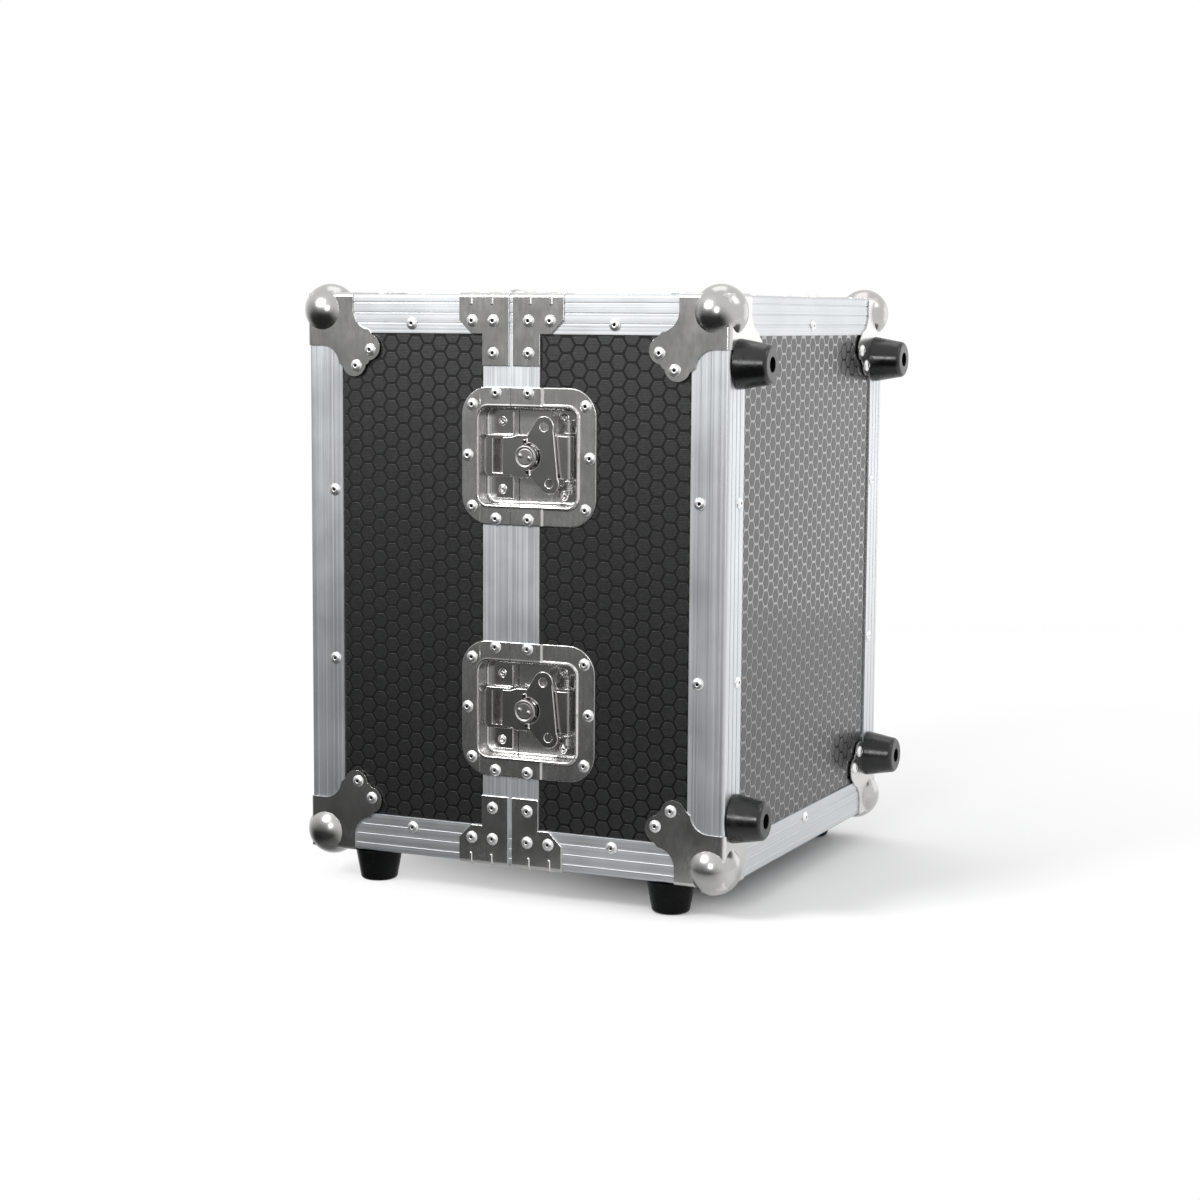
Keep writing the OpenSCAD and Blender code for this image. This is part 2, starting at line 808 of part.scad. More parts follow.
// Arm plate that swings on the pin and carries the drum
module latch_arm() {
    difference() {
        union() {
            slab(arm_top, arm_top + arm_t)
                translate([arm_left_x, -arm_half_h]) square([pin_x - arm_left_x, 2 * arm_half_h]);
            slab(pin_depth - eye_r, arm_top + arm_t)
                translate([arm_step_x, -arm_half_h]) square([pin_x - arm_step_x, 2 * arm_half_h]);
            translate([pin_x, pin_depth, -arm_half_h]) cylinder(h = 2 * arm_half_h, r = eye_r);
        }
        translate([pin_x, pin_depth, -bracket_half_h])
            cylinder(h = 2 * bracket_half_h, r = pin_r + pin_gap);
        translate([drum_x, arm_top + arm_t + over, 0]) rotate([90, 0, 0])
            cylinder(h = arm_t + 2 * over, r = neck_r + pin_gap);
    }
}

// Hook plate that slides on the arm, with the slot for the drum's neck
module latch_hook() {
    slab(hook_top, hook_top + hook_t) difference() {
        polygon([
            [hook_tip_x, -hook_half_h], [hook_tip_x, hook_half_h], [keeper_right, hook_half_h],
            [arm_left_x, arm_half_h], [hook_tail_x, arm_half_h], [hook_tail_x, -arm_half_h],
            [arm_left_x, -arm_half_h], [keeper_right, -hook_half_h]
        ]);
        for (x = [drum_x, drum_x + hook_travel]) translate([x, 0]) circle(neck_r + pin_gap);
        translate([drum_x, -neck_r - pin_gap]) square([hook_travel, 2 * (neck_r + pin_gap)]);
    }
}

// Drum: head with two face pins, neck through the plates and cam below the arm
module latch_drum() {
    cam_top = arm_top + arm_t + slide_gap;
    translate([drum_x, 0, 0]) rotate([0, -wing_tilt, 0]) {
        translate([0, drum_seat, 0]) rotate([90, 0, 0]) cylinder(h = drum_seat - drum_face, r = drum_r);
        translate([0, cam_top, 0]) rotate([90, 0, 0]) cylinder(h = cam_top - drum_seat, r = neck_r);
        translate([cam_off, cam_bottom, 0]) rotate([90, 0, 0]) cylinder(h = cam_bottom - cam_top, r = cam_r);
        for (side = [-1, 1])
            rotate([0, face_pin_turn, 0]) translate([side * face_pin_off, drum_face, 0]) rotate([90, 0, 0])
                rivet_head(face_pin_r, face_pin_h);
        for (side = [-1, 1])
            translate([0, wing_top + wing_t / 2, side > 0 ? 0 : -wing_stub_end])
                cylinder(h = wing_stub_end, r = wing_stub_r);
    }
}

// Outline of the wing about the drum's axis: two lobes joined along the right, tapering to the eyes
module wing_outline() {
    shoulder = wing_lobe_r * [cos(wing_shoulder_angle), sin(wing_shoulder_angle)];
    flank = wing_lobe_r * [cos(wing_flank_angle), sin(wing_flank_angle)];
    for (side = [-1, 1]) translate([wing_lobe_x, side * wing_lobe_z]) circle(wing_lobe_r);
    polygon([
        [wing_right, -wing_right_z], [wing_right, wing_right_z],
        [wing_lobe_x + shoulder[0], wing_lobe_z + shoulder[1]],
        [wing_lobe_x - flank[0], wing_lobe_z + flank[1]],
        [0, wing_eye_end], [0, -wing_eye_end],
        [wing_lobe_x - flank[0], -wing_lobe_z - flank[1]],
        [wing_lobe_x + shoulder[0], -wing_lobe_z - shoulder[1]]
    ]);
}

// Butterfly wing with its two lobes, the notch for the drum and the eyes on the drum's stubs
module latch_wing() {
    translate([drum_x, 0, 0]) rotate([0, -wing_tilt, 0]) difference() {
        union() {
            slab(wing_top, wing_top + wing_t) difference() {
                wing_outline();
                circle(wing_eye_start);
                translate([wing_notch_shift, 0]) circle(wing_notch_r);
                for (side = [-1, 1]) translate([wing_lobe_x, side * wing_lobe_z]) circle(wing_hole_r);
            }
            slab(wing_top, wing_flange_depth)
                translate([wing_right - wing_flange_t, -wing_flange_half_h])
                    square([wing_flange_t, 2 * wing_flange_half_h]);
            for (side = [-1, 1])
                translate([0, wing_top + wing_t / 2, side > 0 ? wing_eye_start : -wing_eye_end])
                    cylinder(h = wing_eye_end - wing_eye_start, r = wing_eye_r);
        }
        translate([0, wing_top + wing_t / 2, -wing_eye_end - over])
            cylinder(h = 2 * (wing_eye_end + over), r = wing_eye_bore_r);
    }
}

// Handle pieces are drawn about the middle of the handle on the case's top face
module at_handle() translate([handle_x, 0, case_h]) children();

module handle_pan(inset) {
    round_rect(-handle_pan_half_w + inset, -handle_pan_half_l + inset, handle_pan_half_w - inset,
               handle_pan_half_l - inset, handle_round - inset);
}

module handle_dish_shape() {
    difference() {
        union() {
            translate([0, 0, -edge_t]) linear_extrude(handle_t)
                round_rect(-handle_w / 2, -handle_len / 2, handle_w / 2, handle_len / 2, handle_round);
            translate([0, 0, -handle_depth - handle_t]) linear_extrude(handle_depth + handle_t)
                handle_pan(0);
        }
        translate([0, 0, -handle_depth]) linear_extrude(handle_depth + 2 * over) handle_pan(handle_t);
        translate([handle_pin_x, handle_pan_half_l + over, handle_pin_z]) rotate([90, 0, 0])
            cylinder(h = 2 * (handle_pan_half_l + over), r = handle_pin_r);
    }
}

module handle_pin_shape() {
    translate([handle_pin_x, handle_pan_half_l, handle_pin_z]) rotate([90, 0, 0])
        cylinder(h = 2 * handle_pan_half_l, r = handle_pin_r);
}

// Bail with two eyed arms and a round rubber-covered bar
module handle_grip_shape() {
    arm_y = handle_pan_half_l - handle_t - grip_arm_in;
    difference() {
        union() {
            for (side = [-1, 1])
                translate([0, side > 0 ? arm_y : -arm_y + grip_arm_t, 0]) {
                    translate([handle_pin_x, 0, handle_pin_z]) rotate([90, 0, 0])
                        cylinder(h = grip_arm_t, r = grip_eye_r);
                    translate([handle_pin_x, -grip_arm_t, handle_pin_z - grip_arm_h / 2])
                        cube([grip_bar_x - handle_pin_x, grip_arm_t, grip_arm_h]);
                }
            translate([grip_bar_x, arm_y, grip_bar_z]) rotate([90, 0, 0])
                cylinder(h = 2 * arm_y, r = grip_bar_r);
        }
        translate([handle_pin_x, arm_y + over, handle_pin_z]) rotate([90, 0, 0])
            cylinder(h = 2 * (arm_y + over), r = handle_pin_r + pin_gap);
    }
}

module handle_spring_shape() {
    length = handle_coil_turns * handle_coil_pitch;
    translate([handle_pin_x, length / 2, handle_pin_z]) rotate([90, 0, 0])
        coil_spring(handle_coil_r, handle_coil_wire_r, handle_coil_turns, handle_coil_pitch);
}

module base_side_panel() color("#2b2c2e") placed() base_side_panel_shape();
module base_front_panel() color("#2b2c2e") placed() difference() {
    front_panel_shape();
    pan_room(slide_gap);
}
module base_back_panel() color("#2b2c2e") placed() mirror([0, 1, 0]) front_panel_shape();
module base_top_panel() color("#2b2c2e") placed() difference() {
    translate([0, 0, case_h]) mirror([0, 0, 1]) bottom_panel_shape();
    handle_room(slide_gap);
}
module base_bottom_panel() color("#2b2c2e") placed() bottom_panel_shape();
module lid_side_panel() color("#2b2c2e") placed() half(true) base_side_panel_shape();
module lid_front_panel() color("#2b2c2e") placed() difference() {
    half(true) front_panel_shape();
    pan_room(slide_gap);
}
module lid_back_panel() color("#2b2c2e") placed() half(true) mirror([0, 1, 0]) front_panel_shape();
module lid_top_panel() color("#2b2c2e") placed() half(true) translate([0, 0, case_h]) mirror([0, 0, 1])
    bottom_panel_shape();
module lid_bottom_panel() color("#2b2c2e") placed() half(true) bottom_panel_shape();

module base_upright_edges() color("#c4c7ca") placed() uprights();
module base_side_edges() color("#c4c7ca") placed() side_edges();
module base_cross_edges() color("#c4c7ca") placed() cross_edges();
module lid_upright_edges() color("#c4c7ca") placed() half(true) uprights();
module lid_side_edges() color("#c4c7ca") placed() half(true) side_edges();
module lid_cross_edges() color("#c4c7ca") placed() half(true) cross_edges();
module base_closure_frame() color("#bcc0c6") placed() closure_frame(true);
module lid_closure_frame() color("#bcc0c6") placed() half(true) closure_frame(false);

module base_ball_corners() color("#8f8f8d") placed() ball_corners();
module lid_ball_corners() color("#8f8f8d") placed() half(true) ball_corners();
module base_brace_plates() color("#8c8a88") placed() four_corners() brace_plate();
module lid_brace_plates() color("#8c8a88") placed() half(true) four_corners() brace_plate();

module base_feet() color("#151617") placed() bottom_foot_places() foot();
module lid_feet() color("#151617") placed() half(true) bottom_foot_places() foot();
module side_feet() color("#151617") placed() side_foot_places() foot();
module base_foot_screws() color("#55585a") placed() {
    bottom_foot_places() foot_screw();
    side_foot_places() foot_screw();
}
module lid_foot_screws() color("#55585a") placed() half(true) bottom_foot_places() foot_screw();

module base_rivets() color("#e2e3e2") placed() {
    case_rivets();
    dish_rivets(dish_rivets_right);
    at_handle() for (p = handle_rivet_shares)
        translate([p[0] * (handle_w / 2 - handle_rivet_in_x), p[1] * (handle_len / 2 - handle_rivet_in_y),
                   handle_t - edge_t]) rivet();
}
module lid_rivets() color("#e2e3e2") placed() {
    half(true) case_rivets();
    dish_rivets(dish_rivets_left);
}
module base_foam() color("#3a3a3c") placed() foam(false);
module lid_foam() color("#3a3a3c") placed() half(true) foam(true);

module hinge_base_leaves() color("#9a9a98") placed() hinge_places() hinge_leaf(0);
module hinge_lid_leaves() color("#9a9a98") placed() hinge_places() half(true) hinge_leaf(1);
module hinge_pins() color("#b0b0ae") placed() hinge_places() translate([0, barrel_y, 0]) {
    translate([0, 0, -hinge_h / 2]) cylinder(h = hinge_h, r = hinge_pin_r);
    translate([0, 0, hinge_h / 2]) cylinder(h = hinge_pin_head_h, r = hinge_pin_head_r);
}

module handle_dish() color("#8c8a88") placed() at_handle() handle_dish_shape();
module handle_grip() color("#1b1c1d") placed() at_handle() handle_grip_shape();
module handle_pin() color("#b0b0ae") placed() at_handle() handle_pin_shape();
module handle_spring() color("#777777") placed() at_handle() handle_spring_shape();

module upper_dish_base_side() color("#8c8a88") placed() at_latch(latch_zs[0]) latch_dish(false);
module upper_dish_lid_side() color("#8c8a88") placed() at_latch(latch_zs[0]) latch_dish(true);
module upper_keeper() color("#969594") placed() at_latch(latch_zs[0]) keeper();
module upper_bracket() color("#969594") placed() at_latch(latch_zs[0]) bracket();
module upper_pin() color("#b0b0ae") placed() at_latch(latch_zs[0]) latch_pin();
module upper_springs() color("#777777") placed() at_latch(latch_zs[0]) latch_springs();
module upper_arm() color("#969594") placed() at_latch(latch_zs[0]) latch_arm();
module upper_hook() color("#9a9896") placed() at_latch(latch_zs[0]) latch_hook();
module upper_drum() color("#a8a8a6") placed() at_latch(latch_zs[0]) latch_drum();
module upper_wing() color("#8c8a88") placed() at_latch(latch_zs[0]) latch_wing();
module lower_dish_base_side() color("#8c8a88") placed() at_latch(latch_zs[1]) latch_dish(false);
module lower_dish_lid_side() color("#8c8a88") placed() at_latch(latch_zs[1]) latch_dish(true);
module lower_keeper() color("#969594") placed() at_latch(latch_zs[1]) keeper();
module lower_bracket() color("#969594") placed() at_latch(latch_zs[1]) bracket();
module lower_pin() color("#b0b0ae") placed() at_latch(latch_zs[1]) latch_pin();
module lower_springs() color("#777777") placed() at_latch(latch_zs[1]) latch_springs();
module lower_arm() color("#969594") placed() at_latch(latch_zs[1]) latch_arm();
module lower_hook() color("#9a9896") placed() at_latch(latch_zs[1]) latch_hook();
module lower_drum() color("#a8a8a6") placed() at_latch(latch_zs[1]) latch_drum();
module lower_wing() color("#8c8a88") placed() at_latch(latch_zs[1]) latch_wing();

base_side_panel();
base_front_panel();
base_back_panel();
base_top_panel();
base_bottom_panel();
lid_side_panel();
lid_front_panel();
lid_back_panel();
lid_top_panel();
lid_bottom_panel();
base_upright_edges();
base_side_edges();
base_cross_edges();
lid_upright_edges();
lid_side_edges();
lid_cross_edges();
base_closure_frame();
lid_closure_frame();
base_ball_corners();
lid_ball_corners();
base_brace_plates();
lid_brace_plates();
base_feet();
lid_feet();
side_feet();
base_foot_screws();
lid_foot_screws();
base_rivets();
lid_rivets();
base_foam();
lid_foam();
hinge_base_leaves();
hinge_lid_leaves();
hinge_pins();
handle_dish();
handle_grip();
handle_pin();
handle_spring();
upper_dish_base_side();
upper_dish_lid_side();
upper_keeper();
upper_bracket();
upper_pin();
upper_springs();
upper_arm();
upper_hook();
upper_drum();
upper_wing();
lower_dish_base_side();
lower_dish_lid_side();
lower_keeper();
lower_bracket();
lower_pin();
lower_springs();
lower_arm();
lower_hook();
lower_drum();
lower_wing();
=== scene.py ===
import json
import math

import bmesh
import bpy
from mathutils import Matrix, Vector


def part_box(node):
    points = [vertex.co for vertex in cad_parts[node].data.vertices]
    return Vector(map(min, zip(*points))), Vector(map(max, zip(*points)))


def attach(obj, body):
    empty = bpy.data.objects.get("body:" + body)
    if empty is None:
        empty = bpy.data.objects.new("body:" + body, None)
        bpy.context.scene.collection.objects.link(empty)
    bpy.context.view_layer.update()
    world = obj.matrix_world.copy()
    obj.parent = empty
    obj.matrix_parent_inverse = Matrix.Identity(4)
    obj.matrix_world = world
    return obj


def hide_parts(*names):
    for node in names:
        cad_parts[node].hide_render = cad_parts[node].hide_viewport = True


MM = 0.001
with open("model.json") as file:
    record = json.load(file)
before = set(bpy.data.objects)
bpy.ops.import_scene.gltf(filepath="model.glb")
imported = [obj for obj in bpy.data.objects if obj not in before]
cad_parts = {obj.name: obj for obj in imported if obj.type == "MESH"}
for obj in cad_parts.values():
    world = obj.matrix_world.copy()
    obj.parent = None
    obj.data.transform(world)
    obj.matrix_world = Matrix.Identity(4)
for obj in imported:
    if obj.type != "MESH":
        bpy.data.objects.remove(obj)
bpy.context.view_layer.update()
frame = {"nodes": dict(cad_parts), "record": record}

NODES = frame["nodes"]
BODIES = frame["record"]["behaviour"]["bodies"]
BODY_OF = {node: body for body, members in BODIES.items() for node in members}
SLOT_OF = {name: piece.material_slots[0].name for name, piece in NODES.items()}

# The case's outer faces, read from the edge angles
CASE_LOW = Vector((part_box("lid_upright_edges")[0].x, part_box("base_upright_edges")[0].y,
                   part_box("base_upright_edges")[0].z))
CASE_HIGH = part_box("base_upright_edges")[1]
SEAM_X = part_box("base_cross_edges")[0].x
EDGE_W = CASE_HIGH.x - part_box("base_side_edges")[0].x
STRIP_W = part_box("base_closure_frame")[1].x - SEAM_X
CENTRE = (CASE_LOW + CASE_HIGH) / 2
ALONG_X, ALONG_Y, ALONG_Z = Vector((1, 0, 0)), Vector((0, 1, 0)), Vector((0, 0, 1))


# Camera at the photograph's viewing angle
CAMERA_AT = Vector((0.8282, -1.8266, 0.4474))
CAMERA_YAW = math.radians(24.768)
CAMERA_PITCH = math.radians(6.577)
CAMERA_ROLL = math.radians(-0.375)
CAMERA_LENS = 72.99
SENSOR_W = 36


# The yaw turns the camera left from +Y, the pitch tips it down and the roll turns it clockwise
def make_camera():
    level_reach = math.cos(CAMERA_PITCH)
    forward = Vector((-math.sin(CAMERA_YAW) * level_reach, math.cos(CAMERA_YAW) * level_reach,
                      -math.sin(CAMERA_PITCH)))
    level_right = Vector((math.cos(CAMERA_YAW), math.sin(CAMERA_YAW), 0))
    level_down = forward.cross(level_right)
    right = math.cos(CAMERA_ROLL) * level_right + math.sin(CAMERA_ROLL) * level_down
    up = math.sin(CAMERA_ROLL) * level_right - math.cos(CAMERA_ROLL) * level_down
    data = bpy.data.cameras.new("camera")
    data.lens = CAMERA_LENS
    data.sensor_width = SENSOR_W
    camera = bpy.data.objects.new("camera", data)
    bpy.context.scene.collection.objects.link(camera)
    turn = Matrix((right, up, -forward)).transposed().to_4x4()
    camera.matrix_world = Matrix.Translation(CAMERA_AT) @ turn
    bpy.context.scene.camera = camera


# Finishes: each is a node material. Coordinates are the object's own, in metres.
def finish(name, colour, roughness, metallic=0.0, **constants):
    material = bpy.data.materials.new(name)
    material.use_nodes = True
    shader = material.node_tree.nodes["Principled BSDF"]
    shader.inputs["Base Color"].default_value = (*colour, 1)
    shader.inputs["Roughness"].default_value = roughness
    shader.inputs["Metallic"].default_value = metallic
    for socket, value in constants.items():
        shader.inputs[socket.replace("_", " ")].default_value = value
    return material


def add(material, kind, **settings):
    node = material.node_tree.nodes.new(kind)
    for key, value in settings.items():
        setattr(node, key, value)
    return node


def wire(material, source, target):
    material.node_tree.links.new(source, target)


def shader_input(material, socket):
    return material.node_tree.nodes["Principled BSDF"].inputs[socket]


# Noise between 0 and 1 whose grain is drawn out by stretch; scale counts features in a metre
def noise(material, scale, stretch=(1, 1, 1), detail=4.0, roughness=0.55):
    place = add(material, "ShaderNodeTexCoord")
    mapping = add(material, "ShaderNodeMapping")
    mapping.inputs["Scale"].default_value = [scale * share for share in stretch]
    wire(material, place.outputs["Object"], mapping.inputs["Vector"])
    texture = add(material, "ShaderNodeTexNoise")
    texture.inputs["Scale"].default_value = 1.0
    texture.inputs["Detail"].default_value = detail
    texture.inputs["Roughness"].default_value = roughness
    wire(material, mapping.outputs["Vector"], texture.inputs["Vector"])
    return texture.outputs[0]


# Most of a noise lies within these shares of its range
WIDE = (0.3, 0.7)
NARROW = (0.35, 0.65)


# Maps a value from one span to another, clamped
def ranged(material, value, source, target):
    node = add(material, "ShaderNodeMapRange")
    for socket, number in zip(("From Min", "From Max", "To Min", "To Max"), (*source, *target)):
        node.inputs[socket].default_value = number
    wire(material, value, node.inputs["Value"])
    return node.outputs["Result"]


def combined(material, operation, first, second):
    node = add(material, "ShaderNodeMath", operation=operation)
    for socket, value in zip(node.inputs, (first, second)):
        if isinstance(value, (int, float)):
            socket.default_value = value
        else:
            wire(material, value, socket)
    return node.outputs[0]


# Colour that varies between two tones with a value
def tinted(material, value, dark, light):
    node = add(material, "ShaderNodeMix", data_type="RGBA")
    colour_sockets = [s for s in node.inputs if s.type == "RGBA"]
    colour_sockets[0].default_value = (*dark, 1)
    colour_sockets[1].default_value = (*light, 1)
    wire(material, value, node.inputs[0])
    mixed = [s for s in node.outputs if s.type == "RGBA"][0]
    wire(material, mixed, shader_input(material, "Base Color"))


def roughened(material, value):
    wire(material, value, shader_input(material, "Roughness"))


# Bump of a height between 0 and 1 over a depth in metres
def bumped(material, height, depth, strength):
    node = add(material, "ShaderNodeBump")
    node.inputs["Distance"].default_value = depth
    node.inputs["Strength"].default_value = strength
    wire(material, height, node.inputs["Height"])
    wire(material, node.outputs["Normal"], shader_input(material, "Normal"))


def grey(level, warmth=0.0):
    return (level * (1 + warmth), level, level * (1 - warmth))


# Fine lines that cross the face, as sines of one coordinate
def ribs(material, axis, pitch):
    place = add(material, "ShaderNodeTexCoord")
    split = add(material, "ShaderNodeSeparateXYZ")
    wire(material, place.outputs["Object"], split.inputs[0])
    phase = combined(material, "MULTIPLY", split.outputs[axis], 2 * math.pi / pitch)
    wave = combined(material, "SINE", phase, 0)
    return ranged(material, wave, (-1, 1), (0, 1))


# Stretch of a noise that is drawn out along one axis, or across it
def drawn(axis, along, across):
    return [along if letter == axis else across for letter in "XYZ"]


# Raised hexagon faces of the laminate, with fine ribs across them
RIB_PITCH = 1.1 * MM
RIB_DEPTH = 0.08 * MM


def laminate_face(name, rib_axis):
    material = finish(name, grey(0.007, -0.04), 0.42, Specular_IOR_Level=0.6,
                      Coat_Weight=0.35, Coat_Roughness=0.3)
    fleck = noise(material, 1500, drawn(rib_axis, 1, 0.35))
    lines = ribs(material, rib_axis, RIB_PITCH)
    woven = combined(material, "MULTIPLY", lines, ranged(material, fleck, NARROW, (0.4, 1)))
    tinted(material, woven, grey(0.001, -0.04), grey(0.014, -0.05))
    roughened(material, ranged(material, fleck, WIDE, (0.34, 0.5)))
    bumped(material, woven, depth=RIB_DEPTH, strength=0.7)
    return material


# Smooth varnished grooves of the laminate between the hexagons
def laminate_groove():
    material = finish("laminate_groove", grey(0.004), 0.12, Specular_IOR_Level=1.0,
                      Coat_Weight=1.0, Coat_Roughness=0.05)
    cloud = noise(material, 180)
    roughened(material, ranged(material, cloud, WIDE, (0.1, 0.2)))
    tinted(material, cloud, grey(0.003), grey(0.006))
    bumped(material, noise(material, 700), depth=0.02 * MM, strength=0.3)
    return material


# Extruded aluminium whose drawing lines run straight along one axis
def aluminium(name, along, level, contrast=0.14, line_scale=650):
    material = finish(name, grey(level, -0.03), 0.42, 0.9)
    lines = noise(material, line_scale, drawn(along, 0.0015, 1), detail=5.0, roughness=0.75)
    haze = noise(material, 22, detail=3.0)
    pits = noise(material, 900, detail=2.0)
    tinted(material, ranged(material, lines, WIDE, (0, 1)), grey(level - contrast, -0.035),
           grey(level + contrast / 2, -0.03))
    roughened(material, combined(material, "ADD", ranged(material, lines, WIDE, (0.34, 0.48)),
                                 ranged(material, haze, WIDE, (-0.04, 0.06))))
    height = combined(material, "ADD", lines, combined(material, "MULTIPLY", pits, 0.12))
    bumped(material, height, depth=0.05 * MM, strength=0.6)
    return material


# Zinc-plated sheet steel with a soft cloudy sheen and faint scratches
def sheet_steel(name, level, roughness, warmth=0.012):
    material = finish(name, grey(level, warmth), roughness, 1.0)
    cloud = noise(material, 45, detail=4.0)
    scratch = noise(material, 500, (1, 0.06, 0.2), detail=2.0)
    tinted(material, cloud, grey(level * 0.94, warmth), grey(level * 1.04, warmth))
    sheen = ranged(material, cloud, WIDE, (roughness - 0.02, roughness + 0.03))
    worn = ranged(material, scratch, NARROW, (-0.015, 0.015))
    roughened(material, combined(material, "ADD", sheen, worn))
    bumped(material, scratch, depth=0.01 * MM, strength=0.05)
    return material


# Polished balls, a little wavy from pressing
def polished_steel():
    material = finish("polished_steel", grey(0.5, 0.01), 0.14, 1.0)
    cloud = noise(material, 90, detail=5.0)
    tinted(material, cloud, grey(0.45, 0.012), grey(0.54, 0.01))
    roughened(material, ranged(material, cloud, WIDE, (0.18, 0.27)))
    bumped(material, noise(material, 160, detail=2.0), depth=0.06 * MM, strength=0.25)
    return material


def bright_rivet():
    material = finish("bright_rivet", grey(0.86), 0.3, 0.9)
    cloud = noise(material, 300, detail=2.0)
    tinted(material, cloud, grey(0.8), grey(0.92))
    roughened(material, ranged(material, cloud, WIDE, (0.26, 0.36)))
    bumped(material, noise(material, 500, detail=1.0), depth=0.01 * MM, strength=0.2)
    return material


# Moulded rubber with a blotchy sheen and a fine grain
def rubber(name, level, gloss=0.5):
    material = finish(name, grey(level, -0.05), 0.32, Specular_IOR_Level=gloss)
    blotch = noise(material, 110, detail=5.0)
    grain = noise(material, 1600)
    tinted(material, blotch, grey(level * 0.6, -0.05), grey(level * 1.8, -0.05))
    roughened(material, ranged(material, blotch, NARROW, (0.16, 0.32)))
    height = combined(material, "ADD", combined(material, "MULTIPLY", blotch, 2), grain)
    bumped(material, height, depth=0.06 * MM, strength=0.5)
    return material


# Dark finish that paints shade into the bottom of a rivet's hole, and into the wing's eyes
def painted_shade_hollow():
    material = finish("painted_shade_hollow", grey(0.008), 0.8, Specular_IOR_Level=0.1)
    tinted(material, noise(material, 900), grey(0.004), grey(0.02))
    return material


# Foam with open cells
def open_foam():
    material = finish("open_foam", grey(0.03), 0.95, Sheen_Weight=0.25, Sheen_Roughness=0.6)
    place = add(material, "ShaderNodeTexCoord")
    cells = add(material, "ShaderNodeTexVoronoi")
    cells.inputs["Scale"].default_value = 850
    wire(material, place.outputs["Object"], cells.inputs["Vector"])
    wall = ranged(material, cells.outputs["Distance"], (0, 0.7), (0, 1))
    tinted(material, wall, grey(0.012), grey(0.05))
    bumped(material, wall, depth=0.3 * MM, strength=0.8)
    return material


FACE_VERTICAL = laminate_face("laminate_face_upright", "Z")
FACE_LEVEL = laminate_face("laminate_face_level", "Y")
GROOVE = laminate_groove()
# The same ribbed aluminium in copies by the way its lines run; the copy for the side edges along y is darker,
# as painted shade
ALUMINIUM_X = aluminium("aluminium_along_x", "X", 0.71)
ALUMINIUM_Y = aluminium("aluminium_along_y", "Y", 0.66)
ALUMINIUM_Z = aluminium("aluminium_along_z", "Z", 0.72)
STRIP = aluminium("brushed_strip", "Z", 0.82, 0.26, 520)
# The level runs of the closure frame take a darker copy of the brushed strip, as painted shade
LEVEL_STRIP = aluminium("brushed_strip_level", "Y", 0.72, 0.2, 520)
PLATE = sheet_steel("plate_steel", 0.66, 0.24)
BALL = polished_steel()
DISH = sheet_steel("latch_dish_steel", 0.68, 0.26)
LATCH = sheet_steel("latch_plate_steel", 0.58, 0.18)
WING = sheet_steel("wing_plate_steel", 0.52, 0.18)
DRUM = sheet_steel("drum_face_steel", 0.42, 0.34)
HINGE = sheet_steel("hinge_plate_steel", 0.56, 0.28)
PIN = sheet_steel("turned_pin_steel", 0.7, 0.18)
SPRING = sheet_steel("spring_wire_steel", 0.55, 0.22)
SCREW = sheet_steel("dark_screw_steel", 0.2, 0.35)
# A much brighter copy of the sheet steel for the roundings of sheet metal, as a painted highlight
PAINTED_HIGHLIGHT_EDGE = sheet_steel("painted_highlight_rim", 0.9, 0.2)
RIVET = bright_rivet()
# Near-black finish that paints shade into hollows
PAINTED_SHADE = painted_shade_hollow()
# The feet below the case take a copy of the foot rubber with far less specular, as painted shade
FOOT = rubber("foot_rubber_black", 0.004, 0.6)
SHADED_FOOT = rubber("foot_rubber_painted_shade", 0.004, 0.08)
GRIP = rubber("grip_rubber_black", 0.016)
FOAM = open_foam()

FINISH_OF_SLOT = {
    "hex_laminate": GROOVE, "ribbed_aluminium": ALUMINIUM_Z, "brushed_aluminium": STRIP,
    "corner_steel": PLATE, "brace_steel": PLATE, "foot_rubber": FOOT, "screw_steel": SCREW,
    "rivet_steel": RIVET, "foam": FOAM, "hinge_steel": HINGE, "grip_rubber": GRIP,
    "dish_steel": DISH, "spring_steel": SPRING, "pin_steel": PIN, "wing_steel": WING,
    "latch_steel": LATCH,
}
FINISH_OF_NODE = {
    "base_cross_edges": ALUMINIUM_X, "lid_cross_edges": ALUMINIUM_X,
    "base_side_edges": ALUMINIUM_Y, "lid_side_edges": ALUMINIUM_Y,
    # The feet below the case take the copy of the rubber darkened as painted shade
    "base_feet": SHADED_FOOT, "lid_feet": SHADED_FOOT,
}


# Gives a CAD node its finish
def dress(node):
    piece = NODES[node]
    piece.data.materials.clear()
    piece.data.materials.append(FINISH_OF_NODE.get(node, FINISH_OF_SLOT[SLOT_OF[node]]))


WELD_GAP = 0.002 * MM
COPLANAR_ANGLE = math.radians(0.3)
SHARP_ANGLE = math.radians(32)
ROUNDING_STEPS = 2
LARGEST_FACE_WINS = 100


# Rounds a piece's sharp edges with modifiers and shades it smooth; rim is the finish of the rounding
def soften(piece, width, rim=None, clamp=True):
    weld = piece.modifiers.new("weld", "WELD")
    weld.merge_threshold = WELD_GAP
    flat = piece.modifiers.new("flat", "DECIMATE")
    flat.decimate_type = "DISSOLVE"
    flat.angle_limit = COPLANAR_ANGLE
    bevel = piece.modifiers.new("bevel", "BEVEL")
    bevel.width = width
    bevel.segments = ROUNDING_STEPS
    bevel.limit_method = "ANGLE"
    bevel.angle_limit = SHARP_ANGLE
    bevel.use_clamp_overlap = clamp
    bevel.harden_normals = True
    weighted = piece.modifiers.new("weighted", "WEIGHTED_NORMAL")
    weighted.weight = LARGEST_FACE_WINS
    if rim:
        bevel.material = len(piece.data.materials)
        piece.data.materials.append(rim)
    for face in piece.data.polygons:
        face.use_smooth = True


